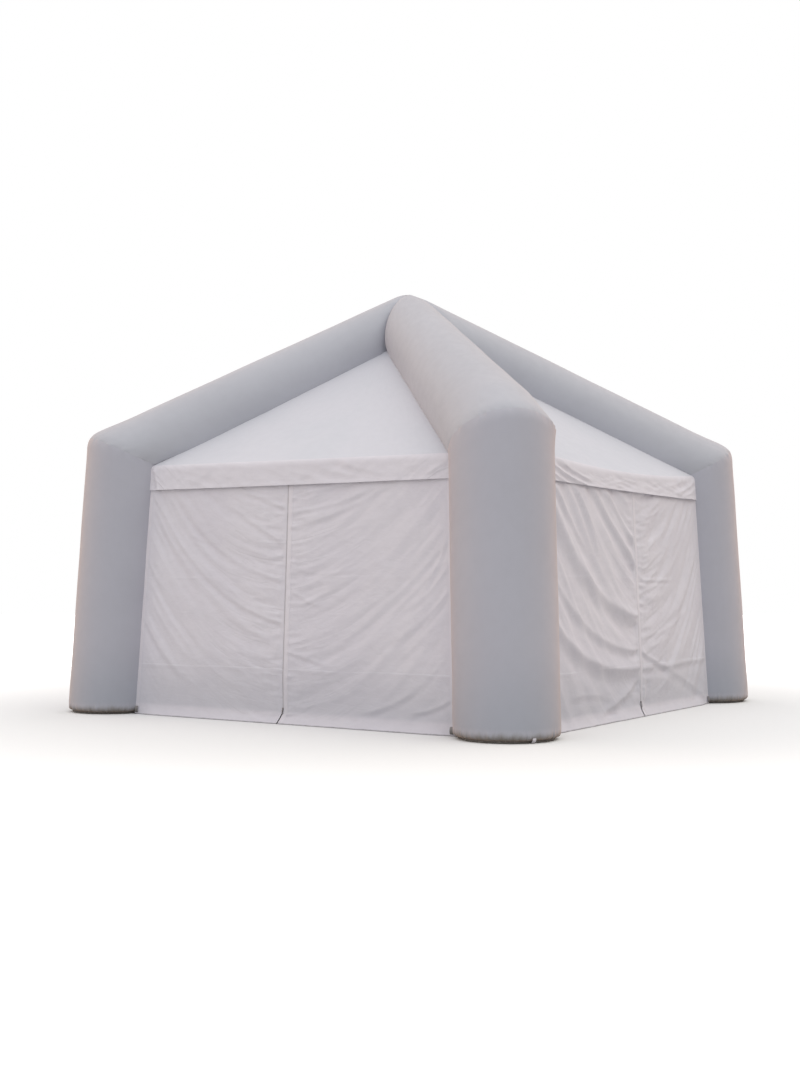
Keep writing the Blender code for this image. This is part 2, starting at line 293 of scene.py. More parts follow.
def woven_cloth(
    name, colour, shade, grime_and_shade, grime_and_shade_height, spots, thread, weave_depth, crumple, crumple_size,
    roughness, sheen=0.0, sheen_tint="#FFFFFF", packed=False, folds=0.0,
):
    """Plain-woven cloth: threads that cross, faint crumples, a slow change of tint over the
    whole piece, a painted bluish shade low down, and grime that climbs from the ground, partly
    real dirt and partly painted contact shade.
    colour and shade are the two tints, spots is how strong the specks of dust are, thread the
    drawn width of one thread, weave_depth and crumple the heights of threads and crumples,
    crumple_size the width of a crumple, packed whether there are packing creases, and folds
    the height of the small folds along the swags. All lengths are in metres."""
    material, tree, shader = new_material(name)
    cut = add_node(tree, "UVMap", {}, uv_map="cut")
    around = add_node(tree, "TexCoord", {}, "Object")
    height = add_node(tree, "SeparateXYZ", [around], "Z")

    bands = [
        add_node(
            tree, "TexWave",
            {"Vector": cut, "Scale": WAVE_LENGTH / (2 * thread), "Distortion": 0.4,
             "Detail": 1.0},
            "Fac", bands_direction=direction,
        )
        for direction in ("X", "Y")
    ]
    weave = add_node(tree, "Math", bands, operation="MULTIPLY")
    stretched = add_node(tree, "VectorMath", [cut, CRUMPLE_STRETCH], operation="MULTIPLY")
    crumples = add_node(
        tree, "TexNoise",
        {"Vector": stretched, "Scale": 1 / crumple_size, "Detail": 4.0, "Roughness": 0.55,
         "Distortion": 0.8},
    )
    reliefs = [(weave, weave_depth, THREAD_RELIEF), (crumples, crumple, CRUMPLE_RELIEF)]
    if packed:
        reliefs.append((packing_creases(tree, cut), CREASE_HEIGHT, 1.0))
    if folds:
        reliefs.append((swag_folds(tree), folds, 1.0))
    normal = {}
    for relief, depth, strength in reliefs:
        inputs = {"Height": relief, "Distance": depth, "Strength": strength}
        normal = {"Normal": add_node(tree, "Bump", {**inputs, **normal})}

    patches = add_node(
        tree, "TexNoise", {"Vector": around, "Scale": TINT_WAVES, "Detail": 3.0, "Roughness": 0.5}
    )
    shaded = add_node(tree, "MapRange", [patches, *TINT_LIMITS, 0.0, 1.0], **SMOOTH_STEP)
    mottle = add_node(
        tree, "TexNoise", {"Vector": cut, "Scale": MOTTLE_WAVES, "Detail": 5.0, "Roughness": 0.6}
    )
    specks = add_node(tree, "MapRange", [mottle, *SPECK_LIMITS, 0.0, spots], **SMOOTH_STEP)
    # Painted shade: a bluish shade colour mixed in over the lower part of the cloth, less on the
    # hem
    low_shading = add_node(tree, "MapRange", [height, 0.0, LOW_SHADE_HEIGHT, LOW_SHADE, 0.0], **SMOOTH_STEP)
    above_hem = add_node(
        tree, "MapRange", [height, *HEM_LOW_SHADE_HEIGHTS, HEM_LOW_SHADE, 1.0], **SMOOTH_STEP
    )
    low_shade_mask = add_node(tree, "Math", [low_shading, above_hem], operation="MULTIPLY")
    # Grime that climbs from the ground in streaks: partly real dirt, partly painted contact shade
    climb = add_node(tree, "MapRange", [height, 0.0, grime_and_shade_height, 1.0, 0.0], **SMOOTH_STEP)
    upright = add_node(tree, "VectorMath", [cut, STREAK_STRETCH], operation="MULTIPLY")
    streaks = add_node(
        tree, "TexNoise",
        {"Vector": upright, "Scale": STREAK_WAVES, "Detail": 5.0, "Roughness": 0.65},
    )
    streaky_climb = add_node(tree, "Math", [streaks, STREAK_STRENGTH, climb], operation="MULTIPLY_ADD")
    dirt_and_shade = add_node(tree, "MapRange", [streaky_climb, *DIRT_AND_SHADE_LIMITS, 0.0, 1.0], **SMOOTH_STEP)
    tint = linear(colour)
    for share, other in ((shaded, shade), (specks, grime_and_shade), (low_shade_mask, LOW_SHADE_COLOUR), (dirt_and_shade, grime_and_shade)):
        tint = add_node(tree, "Mix", {0: share, 6: tint, 7: linear(other)}, **COLOUR_MIX)
    gloss = add_node(
        tree, "MapRange",
        [mottle, *GLOSS_LIMITS, roughness - ROUGHNESS_SPREAD, roughness + ROUGHNESS_SPREAD],
        **SMOOTH_STEP,
    )
    fill_inputs(tree, shader, {
        "Base Color": tint, "Roughness": gloss, "IOR": 1.5, "Sheen Weight": sheen,
        "Sheen Roughness": 0.5, "Sheen Tint": linear(sheen_tint), **normal,
    })
    return material


# What the two cloths of the tubes have in common, and the two of the walls. Real threads are
# about 0.5 mm apart and are drawn 2 to 6 mm wide, so that they show at all
COATED = {
    "spots": 0.03, "thread": 0.004, "weave_depth": 0.0001, "crumple": 0.0003,
    "crumple_size": 0.35, "roughness": 0.5,
}
THIN = {
    "grime_and_shade_height": 0.02, "spots": 0.06, "thread": 0.006, "weave_depth": 0.0002,
    "crumple_size": 0.07, "roughness": 0.7, "sheen": 0.1, "sheen_tint": "#FFF2EC",
}

# PVC-coated polyester of the inflated tubes: light grey with a cool cast and a soft satin
# sheen that warms towards the edges; the threads hardly show through the coating
# Its grime, in streaks at the foot of each leg, is partly real dirt and partly painted contact
# shade
tube_coating = woven_cloth(
    "tube_coated_polyester_satin", "#B6B7C2", "#B4B5C0", "#7B7771", grime_and_shade_height=0.15,
    sheen=0.36, sheen_tint="#FFCCA8", **COATED,
)
# The same cloth on the rafters, away from the grime near the ground, and painted a little lighter
# than on the legs for the brighter light that falls on them up high
rafter_coating = woven_cloth(
    "rafter_coated_polyester_satin", "#BABCC5", "#B7B9C2", "#5A5A60", grime_and_shade_height=0.05,
    sheen=0.2, sheen_tint="#FFD8BC", **COATED,
)
# The same cloth gathered under the legs, grey-brown: soaked-in dirt together with painted contact
# shade where the leg meets the ground
foot_coating = woven_cloth(
    "foot_coated_polyester_soiled", "#98938E", "#88837E", "#6A645E", grime_and_shade_height=0.03,
    spots=0.3, thread=0.004, weave_depth=0.0003, crumple=0.002, crumple_size=0.05,
    roughness=0.75,
)
# Coated roof polyester: bluish white, matt and pulled smooth
roof_polyester = woven_cloth(
    "roof_coated_polyester_matt", "#D3D3DB", "#D0D1D9", "#8A8888", grime_and_shade_height=0.02,
    spots=0.03, thread=0.006, weave_depth=0.0001, crumple=0.0005, crumple_size=0.5,
    roughness=0.62, sheen=0.1,
)
# Thin wall polyester: white with a faint violet cast, matt, with fine crumples from packing
# At the ground its grime darkens a thin band, partly dirt and partly painted contact shade
wall_polyester = woven_cloth(
    "wall_woven_polyester_matt", "#DFDCE4", "#DCD9E2", "#8D8B90", crumple=0.0048,
    packed=True, folds=0.0028, **THIN,
)
# The same cloth on the valance, which isn't folded when it is packed
valance_polyester = woven_cloth(
    "valance_woven_polyester_matt", "#DFDCE4", "#DDDAE2", "#8D8B90", crumple=0.0040,
    folds=0.003, **THIN,
)
# A folded strip of the wall cloth over the zip, two layers thick and so a little lighter
flap_polyester = woven_cloth(
    "flap_woven_polyester_matt", "#E4E0E7", "#E1DDE5", "#8D8B90", grime_and_shade_height=0.02,
    spots=0.04, thread=0.005, weave_depth=0.0002, crumple=0.0008, crumple_size=0.06,
    roughness=0.7, sheen=0.1, sheen_tint="#FFF2EC",
)
# Woven polyester zip tape: pale grey and dull
zip_tape_weave = woven_cloth(
    "zip_tape_woven_polyester", "#D2CED2", "#C6C2C7", "#77757A", grime_and_shade_height=0.1,
    spots=0.1, thread=0.002, weave_depth=0.0003, crumple=0.001, crumple_size=0.03,
    roughness=0.8,
)
# Nylon webbing of the loops: off-white ribs gone grey with dirt
webbing = woven_cloth(
    "strap_woven_nylon_webbing", "#A9A5A4", "#8F8B8A", "#5A5654", grime_and_shade_height=0.12,
    spots=0.3, thread=0.004, weave_depth=0.0008, crumple=0.001, crumple_size=0.03,
    roughness=0.75, sheen=0.1,
)

# How much the roughness of a moulded surface changes from grain to grain
GRAIN_SPREAD = 0.08


def moulded(name, colour, shade, grain, roughness, metallic):
    """Hard moulded or cast surface with a fine grain, in metres, in its tint and gloss."""
    material, tree, shader = new_material(name)
    around = add_node(tree, "TexCoord", {}, "Object")
    grains = add_node(tree, "TexNoise", {"Vector": around, "Scale": 1 / grain, "Detail": 3.0})
    tint = add_node(tree, "Mix", {0: grains, 6: linear(colour), 7: linear(shade)}, **COLOUR_MIX)
    gloss = add_node(
        tree, "MapRange",
        [grains, *GLOSS_LIMITS, roughness - GRAIN_SPREAD, roughness + GRAIN_SPREAD],
        **SMOOTH_STEP,
    )
    fill_inputs(tree, shader, {"Base Color": tint, "Roughness": gloss, "Metallic": metallic})
    return material


# Moulded nylon coil: pale grey with a low gloss on each tooth
coil_nylon = moulded("zip_coil_moulded_nylon", "#D3D0D4", "#C2BFC4", 0.004, 0.45, 0.0)
# Cast zinc slider: dull grey metal, rubbed bright in places
slider_zinc = moulded("zip_slider_cast_zinc", "#9A999B", "#6E6D70", 0.01, 0.4, 1.0)


# Pieces

SHARP_EDGE = radians(60)
FOOT_SHARP_EDGE = radians(80)
CLOTH_SHARP_EDGE = radians(50)


def finish_piece(name, bm, material, nodes=(), sharp=SHARP_EDGE):
    """Turn a mesh into a piece of the part that stands for the given nodes."""
    mesh = bpy.data.meshes.new(name)
    bm.to_mesh(mesh)
    bm.free()
    mesh.shade_smooth()
    mesh.set_sharp_from_angle(angle=sharp)
    mesh.materials.append(material)
    piece = bpy.data.objects.new(name, mesh)
    dressing.objects.link(piece)
    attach(piece, "root")
    if nodes:
        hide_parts(*nodes)
    return piece


def make_tube(around, rows):
    """Closed tube of unit radius and unit height, in rings of corners."""
    bm = bmesh.new()
    bmesh.ops.create_cone(
        bm, cap_ends=True, segments=around, radius1=1, radius2=1, depth=1,
        matrix=Matrix.Translation((0, 0, 0.5)),
    )
    lengthwise = [
        edge for edge in bm.edges if abs(edge.verts[0].co.z - edge.verts[1].co.z) > 0.5
    ]
    bmesh.ops.subdivide_edges(bm, edges=lengthwise, cuts=rows - 1, use_grid_fill=True)
    return bm


def lay_tube_cut(bm, radius, height):
    """UV map of a unit tube's cloth, in metres round it and up it."""
    layer = bm.loops.layers.uv.new("cut")
    for face in bm.faces:
        middle = face.calc_center_median()
        facing = atan2(middle.y, middle.x)
        for loop in face.loops:
            turn = atan2(loop.vert.co.y, loop.vert.co.x)
            if turn - facing > pi:
                turn -= 2 * pi
            elif turn - facing < -pi:
                turn += 2 * pi
            loop[layer].uv = (turn * radius, height(loop.vert.co.z))


# Knee seams: how much higher than a plain mitre each one is at the sides of the leg, how
# much flatter it is, and how far its corner stands out on one side; the rafter's skin runs
# in to its tube within the elbow's length
KNEE_SEAMS = {
    "front_left": (0.09, 0.09, 0.0),
    "front_right": (-0.01, 0.06, 0.022),
    "back_right": (0.08, 0.08, 0.0),
    "back_left": (0.09, 0.09, 0.0),
}
ELBOW = 0.55


class Tube:
    """Line, radius and directions of one inflated tube."""

    def __init__(self, start, end, start_radius, end_radius, out):
        self.start = start
        self.run = (end - start).normalized()
        self.length = (end - start).length
        self.start_radius = start_radius
        self.taper = (end_radius - start_radius) / self.length
        self.out = out
        self.across = self.run.cross(out)

    def ring(self, turn):
        return self.out * cos(turn) + self.across * sin(turn)

    def radius_at(self, along):
        return self.start_radius + self.taper * along

    def at(self, turn, along, radius):
        return self.start + self.run * along + self.ring(turn) * radius

    def cut(self, turn, squeeze, taper, plane_point, plane_normal):
        """Distance along the tube at which the skin's line at a turn meets a plane."""
        ring = self.ring(turn)
        origin = self.start + ring * (self.start_radius - squeeze)
        line = self.run + ring * taper
        return (plane_point - origin).dot(plane_normal) / line.dot(plane_normal)


class Corner:
    """One leg and its rafter."""

    def __init__(self, name, way):
        self.name = name
        self.foot = way * (LEG_SPACING / 2)
        self.knee = way * (LEG_SPACING / 2 - LEAN_IN) + UP * KNEE_HEIGHT
        leg_run = (self.knee - self.foot).normalized()
        rafter_run = (PEAK_AXIS - self.knee).normalized()
        self.mitre = (leg_run + rafter_run).normalized()
        leg_out = -(rafter_run - leg_run * leg_run.dot(rafter_run)).normalized()
        rafter_out = (leg_run - rafter_run * leg_run.dot(rafter_run)).normalized()
        self.leg = Tube(self.foot, self.knee, LEG_RADIUS, LEG_RADIUS, leg_out)
        self.rafter = Tube(self.knee, PEAK_AXIS, LEG_RADIUS, PEAK_RADIUS, rafter_out)
        self.side = UP.cross(rafter_run).normalized()
        self.rafter_up = rafter_run.cross(self.side).normalized()
        self.rafter_level = Vector((rafter_run.x, rafter_run.y, 0)).normalized()
        self.seed = 10 * way.x + 20 * way.y
        tilt = sqrt(1 - leg_run.dot(self.mitre) ** 2) / leg_run.dot(self.mitre)
        lift, flatten, self.knee_corner = KNEE_SEAMS[name]
        self.seam_middle = self.leg.length + lift
        self.seam_swing = LEG_RADIUS * tilt - flatten

    def seam_along(self, turn):
        """Distance up the leg at which its skin ends, at a turn from the outer side."""
        return self.seam_middle + self.seam_swing * cos(turn)

    def elbow(self, turn, squeeze):
        """Where the rafter's skin starts, along it, and how far off its tube that is."""
        radius = LEG_RADIUS - squeeze
        point = self.leg.at(turn, self.seam_along(turn), radius)
        along = (point - self.rafter.start).dot(self.rafter.run)
        return along, point - self.rafter.at(turn, along, radius)

    def distance(self, point):
        """How far a point is outside the skins."""
        offset = point - self.leg.start
        off_leg = (offset - self.leg.run * offset.dot(self.leg.run)).length - LEG_RADIUS
        offset = point - self.rafter.start
        along = offset.dot(self.rafter.run)
        offset -= self.rafter.run * along
        turn = atan2(offset.dot(self.rafter.across), offset.dot(self.rafter.out))
        start, bend = self.elbow(turn, 0.0)
        bent = bend.dot(self.rafter.ring(turn)) * (1 - rise((along - start) / ELBOW))
        off_rafter = offset.length - self.rafter.radius_at(along) - bent
        return min(off_leg, off_rafter)

    def leg_axis_at(self, height):
        return self.foot.lerp(self.knee, height / KNEE_HEIGHT)

    def rafter_seam(self, other):
        """Top end of the cloth seam along the rafter, on the side of another corner."""
        out = self.side if self.side.dot(other.foot - self.foot) > 0 else -self.side
        turned = out * cos(RAFTER_SEAM_TURN) - self.rafter_up * sin(RAFTER_SEAM_TURN)
        return PEAK_AXIS + PEAK_RADIUS * turned


corners = {name: Corner(name, way) for name, way in CORNERS.items()}


# Inflated skins

TUBE_AROUND = 144
TUBE_ROWS = 60
TUBE_CROWDING = 0.85

# Knee: the outer side is rounded off, and both skins are gathered along the seam
KNEE_ROUND = 0.028
KNEE_ROUND_POWER = 1.5
KNEE_ROUND_REACH = 0.11
KNEE_PINCH = 0.0015
KNEE_PINCH_REACH = 0.03
KNEE_PUCKER = 0.012
KNEE_PUCKER_REACH = 0.10
KNEE_PUCKER_SIZE = 0.04
KNEE_CORNER_TURN = radians(60)
KNEE_CORNER_WIDTH = radians(20)
KNEE_CORNER_REACH = 0.27

# How fast puckers and gathers change away from their seam
PUCKER_DRIFT = 7
GATHER_DRIFT = 9

# Peak: where the four rafters meet, each skin rounds in to the seam; a rafter starts to
# taper softly above its knee
PEAK_PINCH = 0.03
PEAK_PINCH_REACH = 0.14
PEAK_PUCKER = 0.006
TAPER_START = 0.3

# Leg bottom: rounded in to the foot and gathered every 4 cm or so, to a height that varies
# round the leg; the lowest rows of the mesh are cut finer for it
BOTTOM_ROUND = 0.045
GATHER_DEPTH = 0.016
GATHER_REACH = 0.11
GATHER_REACH_CHANGE = 1.2
GATHER_REACH_WAVES = 4
GATHER_SIZE = 0.028
GATHER_ROWS = 11
GATHER_CUTS = 2

# Slow unevenness of a tube full of air, calm near both ends
SWELL = 0.004
SWELL_SIZE = 0.45
PLEAT = 0.0016
PLEAT_SIZE = 0.09
CALM_END = 0.25


def knee_squeeze(corner, turn, off_seam):
    """How far in the skin lies near the knee seam, at a turn from the outer side."""
    outer = max(0.0, cos(turn)) ** KNEE_ROUND_POWER
    round_off = KNEE_ROUND * outer * fall(off_seam / KNEE_ROUND_REACH)
    corner_out = exp(-((turn - KNEE_CORNER_TURN) / KNEE_CORNER_WIDTH) ** 2)
    round_off -= corner.knee_corner * corner_out * fall(off_seam / KNEE_CORNER_REACH)
    pinch = KNEE_PINCH * fall(off_seam / KNEE_PINCH_REACH)
    size = LEG_RADIUS / KNEE_PUCKER_SIZE
    pucker = waver(cos(turn) * size, sin(turn) * size, corner.seed + off_seam * PUCKER_DRIFT)
    return round_off + pinch + KNEE_PUCKER * pucker * fall(off_seam / KNEE_PUCKER_REACH)


def peak_squeeze(seed, turn, off_seam):
    """How far in the skin lies near the peak."""
    size = PEAK_RADIUS / KNEE_PUCKER_SIZE
    pucker = waver(cos(turn) * size, sin(turn) * size, seed + 3 + off_seam * PUCKER_DRIFT)
    pinch = PEAK_PINCH * fall(off_seam / PEAK_PINCH_REACH)
    return pinch + PEAK_PUCKER * pucker * fall(off_seam / PEAK_PINCH_REACH)


def bottom_squeeze(seed, turn, height):
    """How far in the skin lies near the foot."""
    low = max(0.0, 1 - height / BOTTOM_ROUND)
    round_in = BOTTOM_ROUND * (1 - sqrt(1 - low * low))
    return round_in - gathers(seed, turn, height)


def gathers(seed, turn, height):
    """Pillows of cloth between the stitches of a leg's bottom hem."""
    size = LEG_RADIUS / GATHER_SIZE
    pillow = crease(cos(turn) * size, sin(turn) * size, seed + height * GATHER_DRIFT)
    slow = waver(cos(turn) * GATHER_REACH_WAVES, sin(turn) * GATHER_REACH_WAVES, seed + 17)
    reach = GATHER_REACH * (1 + GATHER_REACH_CHANGE * slow)
    return -GATHER_DEPTH * (1 + pillow) / 2 * fall(height / reach)


def unevenness(seed, tube, turn, along, to_end):
    """Slow swellings and faint lengthwise pleats, calm near both ends."""
    ring = tube.ring(turn) * tube.start_radius
    swell = SWELL * waver(ring.x / SWELL_SIZE, ring.y / SWELL_SIZE, seed + along / SWELL_SIZE)
    pleat = PLEAT * waver(ring.x / PLEAT_SIZE, ring.y / PLEAT_SIZE, seed + along)
    return (swell + pleat) * rise(along / CALM_END) * rise(to_end / CALM_END)


def build_leg(corner):
    tube = corner.leg
    bm = make_tube(TUBE_AROUND, TUBE_ROWS)
    length = tube.length
    low_rings = [
        edge for edge in bm.edges
        if max(vert.co.z for vert in edge.verts) < (GATHER_ROWS + 0.5) / TUBE_ROWS
        and abs(edge.verts[0].co.z - edge.verts[1].co.z) < 0.5 / TUBE_ROWS
    ]
    bmesh.ops.subdivide_edges(bm, edges=low_rings, cuts=GATHER_CUTS, use_grid_fill=True)
    lay_tube_cut(bm, LEG_RADIUS, lambda share: crowded(share, TUBE_CROWDING) * length)
    floor = UP * (FOOT_THICKNESS + GAP)
    for vert in bm.verts:
        turn = atan2(vert.co.y, vert.co.x)
        start = tube.cut(turn, bottom_squeeze(corner.seed, turn, 0.0), 0.0, floor, UP)
        end = corner.seam_along(turn) - GAP
        along = mix(start, end, crowded(vert.co.z, TUBE_CROWDING))
        squeeze = bottom_squeeze(corner.seed, turn, along - start)
        squeeze += knee_squeeze(corner, turn, end - along)
        uneven = unevenness(corner.seed, tube, turn, along - start, end - along)
        vert.co = tube.at(turn, along, LEG_RADIUS - squeeze + uneven)
    bmesh.ops.recalc_face_normals(bm, faces=bm.faces[:])
    piece = finish_piece(
        "leg_skin_" + corner.name, bm, tube_coating, ["leg_" + corner.name]
    )


def build_rafter(corner):
    tube = corner.rafter
    bm = make_tube(TUBE_AROUND, TUBE_ROWS)
    lay_tube_cut(bm, LEG_RADIUS, lambda share: crowded(share, TUBE_CROWDING) * tube.length)
    # Planes of the seams with the two rafters beside this one
    splits = []
    for other in corners.values():
        if other is not corner and other.rafter_level.dot(corner.rafter_level) > -0.5:
            splits.append((corner.rafter_level - other.rafter_level).normalized())
    for vert in bm.verts:
        turn = atan2(vert.co.y, vert.co.x)
        start, bend = corner.elbow(turn, knee_squeeze(corner, turn, 0.0))
        end_squeeze = peak_squeeze(corner.seed, turn, 0.0)
        ends = [
            tube.cut(turn, end_squeeze, tube.taper, PEAK_AXIS - split * GAP / 2, split)
            for split in splits
        ]
        end = min(ends)
        along = mix(start, end, crowded(vert.co.z, TUBE_CROWDING))
        off_knee = along - start
        squeeze = knee_squeeze(corner, turn, off_knee)
        squeeze += peak_squeeze(corner.seed, turn, end - along)
        uneven = unevenness(corner.seed, tube, turn, off_knee, end - along)
        taper = tube.taper * along * rise(off_knee / TAPER_START)
        vert.co = tube.at(turn, along, LEG_RADIUS + taper - squeeze + uneven)
        vert.co += bend * (1 - rise(off_knee / ELBOW))
    bmesh.ops.recalc_face_normals(bm, faces=bm.faces[:])
    piece = finish_piece(
        "rafter_skin_" + corner.name, bm, rafter_coating,
        ["rafter_" + corner.name],
    )


FOOT_AROUND = 320
FOOT_REACH = LEG_RADIUS - BOTTOM_ROUND


def build_foot(corner):
    """Closed end of the leg: a round of cloth whose rim is gathered like the leg above."""
    bm = bmesh.new()
    bmesh.ops.create_cone(
        bm, cap_ends=True, segments=FOOT_AROUND, radius1=FOOT_REACH, radius2=FOOT_REACH,
        depth=FOOT_THICKNESS, matrix=Matrix.Translation((0, 0, FOOT_THICKNESS / 2)),
    )
    rims = [edge for edge in bm.edges if edge.calc_face_angle(0) > SHARP_EDGE]
    bmesh.ops.bevel(
        bm, geom=rims, offset=FOOT_EDGE, segments=3, profile=0.5, affect="EDGES", material=-1
    )
    layer = bm.loops.layers.uv.new("cut")
    for face in bm.faces:
        for loop in face.loops:
            loop[layer].uv = loop.vert.co.xy
    for vert in bm.verts:
        turn = atan2(vert.co.y, vert.co.x)
        reach = vert.co.xy.length
        if reach > FOOT_REACH / 2:
            factor = 1 + gathers(corner.seed, turn, 0.0) / FOOT_REACH
            vert.co.x *= factor
            vert.co.y *= factor
    bmesh.ops.translate(bm, verts=bm.verts[:], vec=corner.foot)
    bmesh.ops.recalc_face_normals(bm, faces=bm.faces[:])
    finish_piece(
        "foot_round_" + corner.name, bm, foot_coating, ["foot_" + corner.name],
        FOOT_SHARP_EDGE,
    )


for corner in corners.values():
    build_leg(corner)
    build_rafter(corner)
    build_foot(corner)


# Folds of the cloth

class Fold:
    """A fold along a bent line of three points (metres right of the wall's middle, metres
    up the cloth), with its height, its half width, and whether it runs off each end."""

    # Straight steps of the line, and the shares of it over which a closed end fades
    STEPS = 14
    FADE_IN = 0.25
    FADE_OUT = 0.35
    # Form across, in half widths: how sharp the crest is, how far off the valley beside it
    # is, how wide and how deep, and how far out anything is left of the fold
    CREST_POWER = 1.4
    VALLEY_OFF = 1.9
    VALLEY_WIDTH = 1.5
    VALLEY_DEPTH = 0.8
    SPARE = 4

    def __init__(self, points, height, width, open_start=False, open_end=False):
        first, bend, last = (Vector(point) for point in points)
        self.height = height
        self.width = width
        self.open_start = open_start
        self.open_end = open_end
        self.line = []
        for step in range(self.STEPS + 1):
            share = step / self.STEPS
            low = first.lerp(bend, share)
            self.line.append(low.lerp(bend.lerp(last, share), share))
        spare = width * self.SPARE
        across = [point.x for point in self.line]
        up = [point.y for point in self.line]
        self.low = Vector((min(across) - spare, min(up) - spare))
        self.high = Vector((max(across) + spare, max(up) + spare))

    def at(self, x, z):
        """Height of the fold at a place."""
        if not (self.low.x < x < self.high.x and self.low.y < z < self.high.y):
            return 0.0
        point = Vector((x, z))
        best = None
        for step in range(self.STEPS):
            start = self.line[step]
            run = self.line[step + 1] - start
            share = (point - start).dot(run) / run.length_squared
            share = min(max(share, 0.0), 1.0)
            off = point - start - run * share
            if best is None or off.length < best[0]:
                best = (off.length, (step + share) / self.STEPS, run.x * off.y - run.y * off.x)
        gap, share, turn = best
        signed = gap if turn > 0 else -gap
        fade = 1.0
        if not self.open_start:
            fade *= rise(share / self.FADE_IN)
        if not self.open_end:
            fade *= rise((1 - share) / self.FADE_OUT)
        crest = exp(-(gap / self.width) ** self.CREST_POWER)
        off_valley = signed + self.VALLEY_OFF * self.width
        valley = exp(-(off_valley / (self.VALLEY_WIDTH * self.width)) ** 2)
        return self.height * fade * (crest - self.VALLEY_DEPTH * valley)


# Random folds of a wall half: how far apart they are up the cloth, in metres, and how much
# they change from the leg to the zip; the fine ones are a share of the narrow ones' height
WIDE_FOLDS = (0.40, 1.1)
NARROW_FOLDS = (0.17, 2.2)
FINE_FOLDS = (0.07, 5)
FINE_SHARE = 0.45

# Puckers beside the zip and the leg: their sizes, how fast they change away from the seam,
# how much there is of the small ones and of those at the leg, and where they start and end
PUCKER_SIZE = 0.10
PUCKER_CHANGE = 2.0
SMALL_PUCKER_SIZE = 0.045
SMALL_PUCKER_CHANGE = 4.0
SMALL_PUCKER_SHARE = 0.6
LEG_PUCKER_SIZE = 0.07
LEG_PUCKER_CHANGE = 3
LEG_PUCKER_SHARE = 0.4
PUCKER_START = 0.05
ZIP_PUCKER_END = 0.40
LEG_PUCKER_END = 0.2

# The random folds grow to their full height this far from the leg and from the zip
OPEN_FROM_LEG = 0.25
OPEN_FROM_ZIP = 0.3

# Shallow crumples all over, their height and their sizes along the wall and up it
CRUMPLE = 0.0012
CRUMPLE_SIZE = (0.07, 0.05)

# Near the ground the swags fade to a share of their height
CALM_FOOT = 0.35
CALM_HEIGHT = 0.2


class Swag:
    """How one wall half hangs: how far its folds drop from the leg to the zip and how they
    bend, the heights of its wide and narrow folds and of the puckers at the zip, how wide
    its smallest folds are next to those of the others, the height below which its folds
    fade out, and the folds that stand out."""

    def __init__(self, drop, bend, wide, narrow, pucker, seed, spread, calm_below, folds):
        self.drop = drop
        self.bend = bend
        self.wide = wide
        self.narrow = narrow
        self.pucker = pucker
        self.seed = seed
        self.spread = spread
        self.calm_below = calm_below
        self.folds = folds

    def level(self, z, share):
        """Height at which the swag through a place leaves the leg."""
        return z + self.drop * (1 - max(0.0, 1 - share) ** self.bend)

    def at(self, x, z, from_leg, from_zip):
        """Height of the cloth off its plane."""
        share = from_leg / (from_leg + from_zip)
        level = self.level(z, share)
        wide = crease(level / WIDE_FOLDS[0], share * WIDE_FOLDS[1], self.seed)
        narrow = crease(level / NARROW_FOLDS[0], share * NARROW_FOLDS[1], self.seed + 7)
        fine = crease(level / FINE_FOLDS[0] + share, share * FINE_FOLDS[1], self.seed + 29)
        pucker = crease(z / PUCKER_SIZE, from_zip * PUCKER_CHANGE, self.seed + 11)
        pucker += SMALL_PUCKER_SHARE * waver(
            z / SMALL_PUCKER_SIZE, from_zip * SMALL_PUCKER_CHANGE, self.seed + 13
        )
        pucker *= self.pucker * fall(from_zip / ZIP_PUCKER_END) * rise(from_zip / PUCKER_START)
        leg_pucker = waver(z / LEG_PUCKER_SIZE, from_leg * LEG_PUCKER_CHANGE, self.seed + 23)
        leg_pucker *= LEG_PUCKER_SHARE * self.pucker
        leg_pucker *= fall(from_leg / LEG_PUCKER_END) * rise(from_leg / PUCKER_START)
        crumple = waver(x / CRUMPLE_SIZE[0], z / CRUMPLE_SIZE[1], self.seed + 19)
        open_part = rise(from_leg / OPEN_FROM_LEG) * rise(from_zip / OPEN_FROM_ZIP)
        height = self.wide * wide + self.narrow * (narrow + FINE_SHARE * fine)
        above_foot = (z - CALM_HEIGHT) / (self.calm_below - CALM_HEIGHT)
        height *= open_part * mix(CALM_FOOT, 1.0, rise(above_foot))
        height += pucker + leg_pucker + CRUMPLE * crumple
        for fold in self.folds:
            height += fold.at(x, z)
        return height


